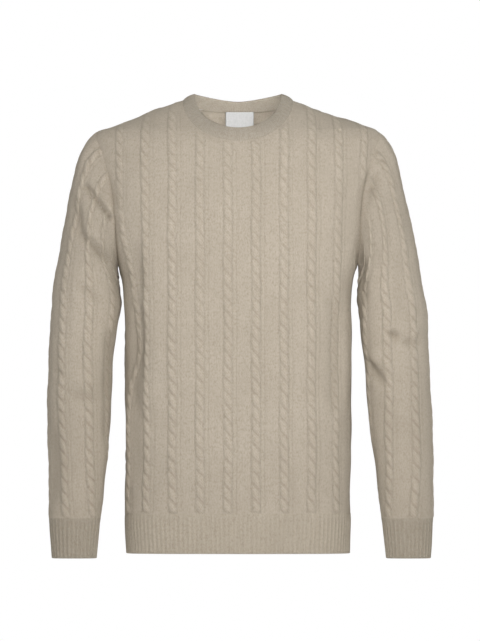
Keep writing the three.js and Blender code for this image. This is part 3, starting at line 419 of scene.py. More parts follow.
# The sleeve's surface
ring_gaps = [0.0]
for above, below in zip(sleeve_rows, sleeve_rows[1:]):
    outer = np.hypot(below["outer_x"] - above["outer_x"], below["outer_z"] - above["outer_z"])
    inner = np.hypot(below["inner_x"] - above["inner_x"], below["inner_z"] - above["inner_z"])
    ring_gaps.append((outer + inner) / 2)
for row, down in zip(sleeve_rows, np.cumsum(ring_gaps)):
    row["down"] = down
sleeve_line = {name: smooth_column(sleeve_rows, "down", name) for name in SLEEVE_COLUMNS}
sway = {
    LEFT: smooth_column(sway_rows, "z", "left"),
    RIGHT: smooth_column(sway_rows, "z", "right"),
}
SLEEVE_END = next(row["down"] for row in sleeve_rows if row["outer_z"] == CUFF_SEAM_Z)


def sleeve_ring(down, angle):
    """A plain ring of the left sleeve. Angle 0 is its outer side, and the front is below pi."""
    at = {name: line(down) for name, line in sleeve_line.items()}

    def rounded(v):
        return np.sign(v) * np.abs(v) ** (2 / SLEEVE_POWER)

    across = rounded(np.cos(angle))
    x = (at["outer_x"] + at["inner_x"]) / 2 + (at["outer_x"] - at["inner_x"]) / 2 * across
    y = at["mid_y"] - at["depth"] * rounded(np.sin(angle))
    z = (at["outer_z"] + at["inner_z"]) / 2 + (at["outer_z"] - at["inner_z"]) / 2 * across
    return np.stack([x, y, z], axis=-1)


def sleeve_surface(down, angle):
    """The left sleeve's surface, which starts along the armhole."""
    share = 1 - smooth_step(0, ARMHOLE_BLEND, down)
    folded = np.abs(np.arctan2(np.sin(angle), np.cos(angle)))
    edge = by_face(np.sin(angle) >= 0, armhole_points, folded)
    return sleeve_ring(down, angle) + (edge - sleeve_ring(0 * down, angle)) * share[..., None]


def sleeve_normals(down, angle):
    e = 0.01
    round_it = sleeve_surface(down, angle + e) - sleeve_surface(down, angle - e)
    along = sleeve_surface(down + 1, angle) - sleeve_surface(np.maximum(0, down - 1), angle)
    return unit(np.cross(round_it, along))


RING_DOWN = np.arange(0, 640, RING_STEP)


def ring_table():
    """Angles at even distances round half of each sleeve ring, and the halves' lengths."""
    angle = np.linspace(0, np.pi, 181)
    angles, lengths = [], []
    for down in RING_DOWN:
        arc = arc_length(sleeve_surface(np.full(len(angle), down), angle))
        angles.append(np.interp(SHARES * arc[-1], arc, angle))
        lengths.append(arc[-1])
    return np.array(angles), np.array(lengths)


rings = ring_table()


def sleeve_reach(down):
    return np.interp(down, RING_DOWN, rings[1])


def sleeve_angle(wale, down):
    share = np.abs(wale) / sleeve_reach(down) * (len(SHARES) - 1)
    return np.sign(wale) * looked_up(rings[0], down / RING_STEP, share)


def seam_normals(face, angle):
    """The normal that the torso and the left sleeve share along the armhole."""
    samples = np.linspace(0.001, np.pi - 0.001, 97)
    points = armhole_points(face, samples)
    outward = points * [0, 1, 1] - [0, 0, ARMHOLE_MID]
    sleeve_side = sleeve_normals(0 * samples, -face * samples)
    table = unit(torso_normals(face, points) + sleeve_side + 0.6 * unit(outward))
    return unit(np.stack([np.interp(angle, samples, table[:, k]) for k in range(3)], axis=-1))


crease_angle = np.linspace(0, np.pi, 60)
crease = np.concatenate([armhole_points(face, crease_angle) for face in (FRONT, BACK)])
crease = crease[crease[:, 2] < ARMPIT["top_z"]]


def armpit_share(points):
    """How much of the cables' height is left at a point: none in the crease under the arm."""
    place = points.copy()
    place[:, 0] = np.abs(place[:, 0])
    nearest = np.full(len(place), 1e9)
    for edge in crease:
        nearest = np.minimum(nearest, np.linalg.norm(place - edge, axis=1))
    return smooth_step(ARMPIT["flat"], ARMPIT["full"], nearest)


def armhole_share(points):
    """How deep the armhole's seam lies: 0 at the shoulder, 1 down the side, less under the arm."""
    z = points[:, 2]
    return smooth_step(-75, -150, z) * (1 - 0.55 * smooth_step(-205, -250, z))


def cable_relief(wale, along, centres):
    """Height, shade and stitch coordinate of cables of two strands. Wale grows to the right."""
    centres = np.asarray(centres, float)
    nearest = centres[np.argmin(np.abs(wale[:, None] - centres), axis=1)]
    u = wale - nearest - WANDER["reach"] * np.sin(along / WANDER["length"] + nearest)
    turn = np.pi * (along + np.sin(along / PACE["length"] + PACE["start"] * nearest)) / CROSSING
    half = ROPE_HALF * (ROPE_WAIST + (1 - ROPE_WAIST) * np.abs(np.cos(turn)) ** 0.7)
    side = np.clip(u / half, -1, 1)
    # Strands wind round the rope, so the grooves between them run from edge to edge
    phase = turn + np.arcsin(side)
    lobe = np.abs(np.sin(phase))
    uneven = 1 + UNEVEN["share"] * np.sin(along / UNEVEN["length"] + nearest)
    rounded = np.sqrt(1 - side * side) * (ROPE_LOW + (1 - ROPE_LOW) * lobe**0.6)
    height = ROPE_HEIGHT * uneven * rounded
    shade = bell(lobe, 0, 0.4) * (1 - 0.5 * side * side)
    ditch = bell(np.abs(u), DITCH["at"], DITCH["width"])
    groove = bell(u, GROOVE["at"], GROOVE["width"])
    beside = -DITCH["depth"] * ditch - GROOVE["depth"] * groove
    for at in LOW_RIDGES["at"]:
        beside += LOW_RIDGES["height"] * bell(u, at, LOW_RIDGES["width"])
    dark = np.maximum(DITCH["shade"] * ditch, GROOVE["shade"] * groove)
    off_rope = np.abs(side) >= 1
    height = np.where(off_rope, beside, np.maximum(height, beside))
    shade = np.where(off_rope, dark, shade)
    return height, shade, np.where(off_rope, wale, STRAND_WIDTH * phase / np.pi)


def cable_columns(centres, reach):
    """Wale positions of a grid, close together over the cables and wide apart between them."""
    over = np.linspace(-9.6, 13.8, 19)
    between = np.linspace(16.4, 29.8, 6)
    steps = [centre + step for centre in centres for step in (*over, *between)]
    before = centres[0] - np.linspace(12, 66, 22)
    after = centres[-1] + np.linspace(32.4, 80, 20)
    return np.array(sorted(w for w in [*before, *steps, *after] if abs(w) < reach))


# Meshes as arrays of points and lists of faces
class Layer:
    """A grid of cloth, cut along the line where its room falls to zero."""

    def __init__(self, columns, rows, room):
        u, v = np.meshgrid(columns, rows, indexing="ij")
        grid = np.stack([u, v], axis=-1)
        keep = room(u.ravel(), v.ravel()).reshape(u.shape) > 0
        number = np.full(u.shape, -1)
        number[keep] = np.arange(keep.sum())
        places = [grid[keep]]
        # Where a step of the grid leaves the room, it is cut by a new point or by moving its own
        cut = {}
        moved = {}
        count = int(keep.sum())
        for step in ((1, 0), (0, 1)):
            a = keep[: keep.shape[0] - step[0], : keep.shape[1] - step[1]]
            b = keep[step[0] :, step[1] :]
            ends = np.argwhere(a != b)
            first_in = a[ends[:, 0], ends[:, 1]][:, None]
            inner = np.where(first_in, ends, ends + step)
            outer = np.where(first_in, ends + step, ends)
            low, high = grid[tuple(inner.T)], grid[tuple(outer.T)]
            start, gap = low, high - low
            for _ in range(HALVINGS):
                middle = (low + high) / 2
                is_in = (room(middle[:, 0], middle[:, 1]) > 0)[:, None]
                low, high = np.where(is_in, middle, low), np.where(is_in, high, middle)
            share = np.abs(low - start).sum(axis=1) / np.abs(gap).sum(axis=1)
            for k in range(len(ends)):
                key = (tuple(ends[k]), step)
                home = number[tuple(inner[k])]
                if share[k] < SNAP:
                    cut[key] = home
                    if home not in moved or moved[home][0] > share[k]:
                        moved[home] = (share[k], low[k])
                else:
                    cut[key] = count
                    count += 1
                    places.append(low[k][None])
        self.places = np.concatenate(places)
        for home, (_, place) in moved.items():
            self.places[home] = place
        corners = np.stack([number[:-1, :-1], number[1:, :-1], number[1:, 1:], number[:-1, 1:]])
        whole = (corners >= 0).all(axis=0)
        self.faces = corners[:, whole].T.tolist()
        # Squares that the line crosses, each with the cuts on its sides
        for i, j in np.argwhere((corners >= 0).any(axis=0) & ~whole):
            round_it = [
                number[i, j], cut.get(((i, j), (1, 0))),
                number[i + 1, j], cut.get(((i + 1, j), (0, 1))),
                number[i + 1, j + 1], cut.get(((i, j + 1), (1, 0))),
                number[i, j + 1], cut.get(((i, j), (0, 1))),
            ]
            face = [int(n) for n in round_it if n is not None and n >= 0]
            face = [n for k, n in enumerate(face) if n != face[k - 1]]
            if len(set(face)) > 2:
                self.faces.append(face)


def edge_loops(faces):
    """The loops of edges that only one face uses, in the faces' own direction."""
    edges = {}
    for face in faces:
        for k, b in enumerate(face):
            edges[(face[k - 1], b)] = True
    after = {a: b for a, b in edges if (b, a) not in edges}
    loops = []
    while after:
        start = next(iter(after))
        loop = [start]
        step = after.pop(start)
        while step != start and step in after:
            loop.append(step)
            step = after.pop(step)
        loops.append(loop)
    return loops


def zipped(points, outer, inner):
    """Triangles between two loops of points that run the same way."""
    near = np.linalg.norm(points[inner] - points[outer[0]], axis=1)
    turned = int(np.argmin(near))
    inner = inner[turned:] + inner[:turned]
    a, b = [*outer, outer[0]], [*inner, inner[0]]
    i = j = 0
    triangles = []
    while i < len(a) - 1 or j < len(b) - 1:
        go_outer = j == len(b) - 1
        if not go_outer and i < len(a) - 1:
            ahead = np.linalg.norm(points[a[i + 1]] - points[b[j]])
            go_outer = ahead <= np.linalg.norm(points[a[i]] - points[b[j + 1]])
        if go_outer:
            triangles.append([a[i + 1], a[i], b[j]])
            i += 1
        else:
            triangles.append([b[j + 1], a[i], b[j]])
            j += 1
    return triangles


def new_object(name, data):
    made = bpy.data.objects.new(name, data)
    bpy.context.scene.collection.objects.link(made)
    return made


def make_mesh(name, points, faces, stitches, shades, rims):
    """A piece from millimetre points, with stitch coordinates and shade at each point. Edges
    between two points of rims are sharp."""
    mesh = bpy.data.meshes.new(name)
    mesh.from_pydata((points * METRES).tolist(), [], faces)
    corners = np.empty(len(mesh.loops), np.int32)
    mesh.loops.foreach_get("vertex_index", corners)
    layer = mesh.uv_layers.new(name="stitches")
    layer.data.foreach_set("uv", stitches[corners].astype(np.float32).ravel())
    shade = mesh.attributes.new("shade", "FLOAT", "POINT")
    shade.data.foreach_set("value", shades.astype(np.float32))
    mesh.shade_smooth()
    on_rim = np.zeros(len(points), bool)
    on_rim[rims] = True
    ends = np.empty(2 * len(mesh.edges), np.int32)
    mesh.edges.foreach_get("vertices", ends)
    mesh.edges.foreach_set("use_edge_sharp", on_rim[ends.reshape(-1, 2)].all(axis=1))
    mesh.calc_loop_triangles()
    corners = np.empty(3 * len(mesh.loop_triangles), np.int32)
    mesh.loop_triangles.foreach_get("vertices", corners)
    a, b, c = points[corners.reshape(-1, 3)].transpose(1, 0, 2)
    if np.einsum("ij,ij->", a, np.cross(b, c)) < 0:
        mesh.flip_normals()
    return new_object(name, mesh)


def shell(name, outer, inner, outside, inside):
    """A closed shell from an outer and an inner layer. outside and inside place their points."""
    out_points, out_stitches, out_shades = outside(*outer.places.T)
    in_points, in_stitches, in_shades = inside(*inner.places.T)
    points = np.concatenate([out_points, in_points])
    inner_faces = [[n + len(out_points) for n in face] for face in inner.faces]
    out_loops = edge_loops(outer.faces)
    in_loops = edge_loops(inner_faces)
    rim = []
    for loop in out_loops:
        middle = points[loop].mean(axis=0)
        gaps = [np.linalg.norm(points[other].mean(axis=0) - middle) for other in in_loops]
        rim.extend(zipped(points, loop, in_loops[int(np.argmin(gaps))]))
    faces = outer.faces + [face[::-1] for face in inner_faces] + rim
    stitches = np.concatenate([out_stitches, in_stitches])
    shades = np.concatenate([out_shades, in_shades])
    rims = [n for loop in out_loops + in_loops for n in loop]
    return make_mesh(name, points, faces, stitches, shades, rims)


def lengths_along(columns, rows, surface):
    """Distance along each column of a grid, as a table to look up."""
    u, v = np.meshgrid(columns, rows, indexing="ij")
    points = surface(u.ravel(), v.ravel()).reshape(*u.shape, 3)
    steps = np.linalg.norm(np.diff(points, axis=1), axis=2)
    table = np.concatenate([np.zeros((len(columns), 1)), np.cumsum(steps, axis=1)], axis=1)

    def along(u, v):
        i = np.interp(u, columns, np.arange(len(columns)))
        j = np.interp(v, rows, np.arange(len(rows)))
        return looked_up(table, i, j)

    return along


def armhole_gap(points):
    """Signed distance of torso points from the armhole's edge, more than 0 on the torso."""
    c = (points[:, 2] - ARMHOLE_MID) / ARMHOLE_HALF
    width = ARMHOLE_DEPTH * np.maximum(0.2, 1 - ARMHOLE_TAPER * c)
    q = np.abs(points[:, 1]) / width
    r = np.hypot(q, c)
    slope = np.hypot(q / np.maximum(r, 0.2) / width, c / np.maximum(r, 0.2) / ARMHOLE_HALF)
    return (r - 1) / np.maximum(slope, 1e-4)


def torso_gaps(face, wale, z):
    """Distances of torso points from the panel's seams."""
    points = torso_points(face, wale, z)
    shoulder_slope = 1 + np.abs(torso_reach(face, z + 1) - torso_reach(face, z - 1)) / 2
    r = np.hypot(points[:, 0] / NECK_HALF, np.minimum(z, 0) / NECK_DROP[face])
    return {
        "side": (torso_reach(face, z) - np.abs(wale)) / shoulder_slope,
        "armhole": armhole_gap(points),
        "neck": np.minimum((r - 1) * 0.8 * NECK_DROP[face], -z + SLACK),
        "hem": z - HEM_SEAM_Z + SLACK,
    }


def seam_dip(gap, depth, width):
    return -depth * bell(np.maximum(0, gap), 0, width)


def armhole_dip(gap, sunk):
    return seam_dip(gap, ARMHOLE_SEAM["depth"] * sunk, ARMHOLE_SEAM["width"])


# Painted shade, darker towards the hem or the cuffs
def low_shade(part, z):
    most, begin, end = LOW_SHADE[part]
    return most * smooth_step(begin, end, z)


def pulled_in(face, wale, z):
    """How far the side fold of the front draws the cable beside it towards the middle."""
    share = smooth_step(-150, -360, z) * (1 - smooth_step(-365, -450, z))
    near = smooth_step(-222, -178, wale) * (1 - smooth_step(-153, -142, wale))
    return (face == FRONT) * DRAWN_IN * share * near


def panel_fade(points, wale, z, gaps):
    """The share of the cables' height that is left on a panel."""
    edge = np.minimum(np.minimum(gaps["armhole"], gaps["neck"]), gaps["hem"])
    fade = armpit_share(points) * smooth_step(*RUN_OUT["seam"], edge)
    fade *= 0.25 + 0.75 * smooth_step(*RUN_OUT["side"], gaps["side"])
    # Cables are flatter in the middle of the body, on the chest and below the left armhole
    fade *= 0.85 + 0.2 * smooth_step(50, 130, np.abs(wale))
    fade *= 0.82 + 0.28 * smooth_step(-160, -400, z)
    return fade * (1 - 0.75 * smooth_step(160, 172, wale) * smooth_step(-220, -280, z))


def knitted(name, centres, to_right, outer, inner, base, course):
    """A shell of cabled cloth. base(wale, at) gives the points, normals and height of its plain
    surface, its painted shade in seams and folds and lower down, the share of the cables' height and
    the wale they follow.
    course(wale, at) is the length along it, and to_right is 1 where wale grows to the right."""
    columns = sorted(to_right * np.array(centres))

    def outside(wale, at):
        points, normals, height, dark, painted_low_shade, fade, followed = base(wale, at)
        along = course(wale, at)
        relief, shade, stitch = cable_relief(to_right * followed, along, columns)
        height += relief * fade
        # Painted shade lower down is added to the painted shade of grooves, seams and folds
        shade = np.maximum(shade * fade, dark) + painted_low_shade
        stitches = np.stack([stitch / WALE, along / COURSE], axis=1)
        return points + normals * height[:, None], stitches, shade

    def inside(wale, at):
        points, normals, height = base(wale, at)[:3]
        stitches = np.stack([wale / WALE, course(wale, at) / COURSE], axis=1)
        return points + normals * (height - WALL)[:, None], stitches, 0 * wale

    return shell(name, outer, inner, outside, inside)


def torso_panel(name, face, shift):
    """The front or back panel with its cables."""
    centres = [(k - 5.5) * CABLE_PITCH + shift for k in range(12)]
    centres = [centre for centre in centres if abs(centre) < BODY_LAST]
    plain_columns = np.arange(-BODY_REACH, BODY_REACH + 1, PLAIN_STEP)

    def room(wale, z):
        return np.min(list(torso_gaps(face, wale, z).values()), axis=0)

    def base(wale, z):
        points = torso_points(face, wale, z)
        gaps = torso_gaps(face, wale, z)
        angle = np.arccos(np.clip((z - ARMHOLE_MID) / ARMHOLE_HALF, -1, 1))
        shared = seam_normals(face, angle)
        shared[:, 0] *= np.sign(wale)
        near = (1 - smooth_step(0, SHARED_NORMAL, gaps["armhole"]))[:, None]
        normals = unit(torso_normals(face, points) * (1 - near) + shared * near)
        height, dark = fold_relief(points, normals)
        sunk = armhole_share(points)
        height += swell_height(points) + armhole_dip(gaps["armhole"], sunk)
        for seam, dip in SEAM_DIPS.items():
            height += seam_dip(gaps[seam], *dip)
        dark = np.maximum(dark, ARMHOLE_SEAM["shade"] * sunk * bell(gaps["armhole"], 0, 2.2))
        # Painted shade, darker towards the hem
        painted_low_shade = low_shade("body", z)
        fade = panel_fade(points, wale, z, gaps)
        return points, normals, height, dark, painted_low_shade, fade, wale - pulled_in(face, wale, z)

    columns = cable_columns(centres, BODY_REACH)
    if face == FRONT:
        # The cable that is drawn in comes to lie over these
        columns = np.union1d(columns, centres[0] + np.arange(15.1, 32, 2.68))
    levels = np.concatenate([np.arange(HEM_SEAM_Z, -130, 2.0), np.arange(-130, 1, 1.5), [1]])
    inner_levels = np.concatenate([np.arange(HEM_SEAM_Z, -60, 7.0), np.arange(-60, 1, 3.0), [1]])
    course = lengths_along(plain_columns, levels, lambda wale, z: torso_points(face, wale, z))
    outer = Layer(columns, levels, room)
    inner = Layer(plain_columns, inner_levels, room)
    return knitted(name, centres, -face, outer, inner, base, course)


def sleeve(name, side):
    """A sleeve with its cables, from the armhole to the cuff."""
    centres = [k * CABLE_PITCH + SLEEVE_SHIFT[side] for k in range(-5, 6)]

    def placed(down, angle):
        points = sleeve_surface(down, angle) * [side, 1, 1]
        points[:, 0] += sway[side](points[:, 2]) * smooth_step(0, 20, down)
        return points

    def surface(wale, down):
        return placed(down, sleeve_angle(wale, down))

    def room(wale, down):
        return sleeve_reach(down) - np.abs(wale) + 1e-6

    def height_above_cuff(wale, down):
        return along(wale, np.full(len(wale), SLEEVE_END)) - along(wale, down)

    def base(wale, down):
        angle = sleeve_angle(wale, down)
        points = placed(down, angle)
        shared = by_face(np.sin(angle) >= 0, seam_normals, np.abs(angle))
        near = (1 - smooth_step(0, SHARED_NORMAL, down))[:, None]
        normals = sleeve_normals(down, angle) * (1 - near) + shared * near
        normals = unit(normals) * [side, 1, 1]
        height, dark = fold_relief(points, normals)
        sunk = armhole_share(points)
        height += swell_height(points) * smooth_step(0, 30, down)
        height += armhole_dip(down, sunk) + seam_dip(SLEEVE_END - down, *SEAM_DIPS["hem"])
        seam_width = 2.5 + 1.5 * sunk
        dark = np.maximum(dark, ARMHOLE_SEAM["shade"] * sunk * bell(down, 0, seam_width))
        # Painted shade, darker towards the cuff
        painted_low_shade = low_shade("sleeve", points[:, 2])
        edge = np.minimum(down, SLEEVE_END - down)
        fade = armpit_share(points) * smooth_step(*RUN_OUT["seam"], edge)
        fade *= smooth_step(*RUN_OUT["side"], sleeve_reach(down) - np.abs(wale))
        fade *= 1 - 0.6 * bell(wale, SLEEVE_SHIFT[side], 14)
        return points, normals, height, dark, painted_low_shade, fade, wale

    downs = np.linspace(0, SLEEVE_END, 300)
    along = lengths_along(np.arange(-SLEEVE_REACH, SLEEVE_REACH + 1, PLAIN_STEP), downs, surface)
    outer = Layer(cable_columns(centres, SLEEVE_REACH), downs, room)
    inner_columns = np.arange(-SLEEVE_REACH, SLEEVE_REACH + 1, 7.5)
    inner = Layer(inner_columns, np.linspace(0, SLEEVE_END, 70), room)
    return knitted(name, centres, -side, outer, inner, base, height_above_cuff)


def rib_wave(turns):
    """Height of ribs from 0 to 1, with rounded tops and flatter channels. A rib is one turn."""
    wave = np.tanh(RIB_STEEP * np.cos(2 * np.pi * turns) + RIB_NARROW)
    return 0.5 - 0.5 * wave / np.tanh(RIB_STEEP + RIB_NARROW)


def band_grid(name, sections, turns, rib_height, closed):
    """A ribbed wall from rows of points that go round its section. Each row is points, normals,
    offset, the share of the ribs' height, the length so far and the least shade."""
    columns = len(turns)
    count = len(sections)
    wave = rib_wave(turns)
    deep = RIB_SHADE * rib_height / RIB_HEIGHT * (1 - wave)
    points, stitches, shades = [], [], []
    for place, normals, offset, ribbed, along, dark in sections:
        height = offset + rib_height * ribbed * wave
        points.append(place + normals * height[:, None])
        course = np.full(columns, along / COURSE)
        stitches.append(np.stack([turns * RIB_PITCH / WALE, course], axis=1))
        shades.append(np.maximum(deep * ribbed, dark))
    faces = []
    for r in range(count):
        s = (r + 1) % count
        for i in range(columns if closed else columns - 1):
            j = (i + 1) % columns
            faces.append([r * columns + i, r * columns + j, s * columns + j, s * columns + i])
    if not closed:
        faces.append([r * columns for r in range(count)])
        faces.append([r * columns + columns - 1 for r in reversed(range(count))])
    rims = [*range(columns), *range((count - 1) * columns, count * columns)]
    points, stitches, shades = (np.concatenate(a) for a in (points, stitches, shades))
    return make_mesh(name, points, faces, stitches, shades, rims)


def band_rows(place, start, end, sunk):
    """Rows round a band's section: down its outside, round its free edge and up its inside.
    place(z) gives points and normals. The band hangs straight down from start to end."""
    outer_rows, inner_rows, edge_steps = 15, 7, 4
    radius = WALL / 2
    rows = []
    for z in np.linspace(start, end + radius, outer_rows):
        points, normals = place(z)
        ribbed = smooth_step(0, 8, start - z)
        dip = seam_dip(start - z, *SEAM_DIPS["hem"]) - sunk * ribbed
        rows.append((points, normals, dip, ribbed, z, 0))
    points, normals = place(end + radius)
    for k in range(1, edge_steps):
        turn = np.pi * k / edge_steps
        beyond = points - [0, 0, radius * np.sin(turn)]
        offset = radius * (np.cos(turn) - 1) - sunk
        ribbed = max(0, np.cos(turn))
        rows.append((beyond, normals, offset, ribbed, end - radius * turn, 0))
    for z in np.linspace(end + radius, start, inner_rows):
        points, normals = place(z)
        offset = -sunk * smooth_step(0, 8, start - z) - WALL
        rows.append((points, normals, offset, INNER_RIBS, 2 * end - z, 0))
    return rows


def draped(points, normals):
    """A rib's points moved by the folds and by part of the cloth's swells."""
    height = fold_relief(points, normals)[0] + swell_height(points) * RIB_SWELL
    return points + normals * height[:, None]


def hem_rib(name, face):
    """Half of the hem rib, below the front or the back panel."""
    ribs = round(2 * float(torso_reach(face, HEM_SEAM_Z)) / RIB_PITCH)
    turns = np.linspace(0, ribs, ribs * RIB_STEPS + 1)

    def place(z):
        levels = np.full(len(turns), float(z))
        wale = np.linspace(-1, 1, len(turns)) * torso_reach(face, levels)
        points = torso_points(face, wale, levels)
        points[[0, -1], 1] = 0
        normals = torso_normals(face, points)
        return draped(points, normals), unit(normals * [1, 1, 0.3])

    rows = band_rows(place, HEM_SEAM_Z, HEM_Z, HEM_SUNK)
    return band_grid(name, rows, turns, RIB_HEIGHT * HEM_RIBS, False)


def cuff(name, side):
    """A ribbed tube below a sleeve."""
    girth = 2 * float(sleeve_reach(SLEEVE_END + 30))
    ribs = round(girth / RIB_PITCH)
    columns = ribs * RIB_STEPS
    turns = np.arange(columns) / RIB_STEPS

    def place(z):
        down = np.full(columns, SLEEVE_END + CUFF_SEAM_Z - z)
        wale = (2 * np.arange(columns) / columns - 1) * sleeve_reach(down)
        angle = sleeve_angle(wale, down)
        points = sleeve_ring(down, angle) * [side, 1, 1]
        points[:, 2] = z
        points[:, 0] += sway[side](points[:, 2])
        normals = unit(sleeve_normals(down, angle) * [side, 1, 0])
        return draped(points, normals), normals

    rows = band_rows(place, CUFF_SEAM_Z, CUFF_Z, CUFF_SUNK)
    return band_grid(name, rows, turns, RIB_HEIGHT, True)


def band_top_points(angle):
    """The neckband's free edge: angle 0 is the middle of the front and pi that of the back."""
    c, s = np.cos(angle), np.sin(angle)
    reach = np.where(c > 0, BAND_TOP["front_y"], BAND_TOP["back_y"])

    def rise(s):
        return (s * s + BACK_CURVE["blunt"] ** 2) ** (BACK_CURVE["power"] / 2)

    back_dip = BAND_TOP["back_drop"] * (1 - (rise(s) - rise(0)) / (rise(1) - rise(0)))
    dip = np.where(c > 0, BAND_TOP["front_drop"] * c, back_dip)
    return np.stack([BAND_TOP["half"] * s, -reach * c, BAND_TOP["z"] - dip], axis=-1)


def even_points(curve, count):
    """Points at even distances along a curve given as a function of 0 to 1, without the last."""
    t = np.linspace(0, 1, 2001)
    arc = arc_length(curve(t))
    goals = np.arange(count) / count * arc[-1]
    return curve(np.interp(goals, arc, t))


def neckband(name):
    """The ribbed neckband, a ring that stands on the neckline and leans in to its free edge."""
    front_count = BAND_RIBS[FRONT] * RIB_STEPS
    back_count = BAND_RIBS[BACK] * RIB_STEPS
    seam = np.concatenate([
        even_points(lambda t: neckline_points(FRONT, (t - 0.5) * np.pi), front_count),
        even_points(lambda t: neckline_points(BACK, (0.5 - t) * np.pi), back_count),
    ])
    top = np.concatenate([
        even_points(lambda t: band_top_points((t - 0.5) * np.pi), front_count),
        even_points(lambda t: band_top_points((t + 0.5) * np.pi), back_count),
    ])
    up = top - seam
    around = np.roll(seam, -4, axis=0) - np.roll(seam, 4, axis=0)
    lean = unit(np.cross(around, up))
    is_front = seam[:, 1] < 0
    torso = by_face(is_front, torso_normals, seam)
    turns = np.arange(len(seam)) / RIB_STEPS
    # The band's two ends are sewn together at the left shoulder, in a sunken join; painted shade
    # darkens the join and draws a notch beside it
    last = BAND_RIBS[FRONT]
    notch_shade = smooth_step(last - 3.5, last - 2, turns) * (turns < last + 0.5)
    join = bell(turns, last - 0.1, 0.3)

    def place(share):
        mixed = smooth_step(0, 0.5, share)
        normals = unit(torso * (1 - mixed) + lean * mixed)
        bulge = 1.6 * np.sin(np.pi * share) - 0.6 * share
        return seam + up * share + lean * bulge, normals

    width = float(np.linalg.norm(up, axis=1).mean())
    radius = BAND_WALL / 2
    shares = np.linspace(0, 1 - radius / width, 12)
    edge_steps = 6
    rows = []
    for share in shares:
        points, normals = place(share)
        dip = seam_dip(share * width, *SEAM_DIPS["neck"]) - JOIN_SUNK * join
        ribbed = smooth_step(0, 5, share * width) * (1 - 0.4 * share)
        # Painted shade in the sunken join, darker towards the free edge
        dark = join * (0.4 + 1.8 * smooth_step(0.3, 0.8, share))
        rows.append((points, normals, dip, ribbed, share * width, dark))
    points, normals = place(shares[-1])
    for k in range(1, edge_steps):
        turn = np.pi * k / edge_steps
        beyond = points + unit(up) * (radius * np.sin(turn) - JOIN_SUNK * join)[:, None]
        # Painted shade in the join, and a painted shadow along the inside of the front's free edge,
        # where it shades the back of the neck
        dark = np.maximum(2.2 * join, 0.8 * is_front * (k > 2))
        # Painted shade for the notch beside the join
        dark = np.maximum(dark, 2.0 * notch_shade * (k > 1))
        ribbed = max(0, np.cos(turn)) * NECK_RIBS["edge"]
        offset = radius * (np.cos(turn) - 1)
        rows.append((beyond, normals, offset, ribbed, width + radius * turn, dark))
    for share in shares[::-2]:
        points, normals = place(share)
        thick = WALL + (BAND_WALL - WALL) * smooth_step(0, 0.4, share)
        # Painted shade at the join and the notch on the band's inside
        dark = np.maximum(join, 2.0 * notch_shade * (share > 0.85))
        rows.append((points, normals, -thick, NECK_RIBS["inner"], (2 - share) * width, dark))
    return band_grid(name, rows, turns, RIB_HEIGHT * NECK_RIBS["outer"], True)


def label(name):
    """The blank woven label that hangs straight down inside the back of the neck."""
    columns, rows = 24, 16
    x = LABEL["centre_x"] + LABEL["width"] * np.linspace(-0.5, 0.5, columns + 1)
    normals = unit(np.tile([0, 1, LABEL_HANG], (len(x), 1)))
    spread = np.linspace(-1, 1, columns + 1)
    face, behind = [], []
    for share in np.linspace(0, 1, rows + 1):
        drop = LABEL["height"] * share
        curl = share**2 * (0.5 * spread**2 + 0.25 * np.sin(0.16 * x + 1))
        y = LABEL["top_y"] + LABEL_HANG * drop - LABEL_BEND * x**2 - curl
        points = np.stack([x, y, LABEL["top_z"] - drop + 0 * x], axis=-1)
        face.append((points, normals, -LABEL["thick"], 0, drop, 0))
        behind.insert(0, (points, normals, 0, 0, drop, 0))
    turns = np.linspace(0, LABEL["width"] / RIB_PITCH, columns + 1)
    return band_grid(name, face + behind, turns, 0, False)


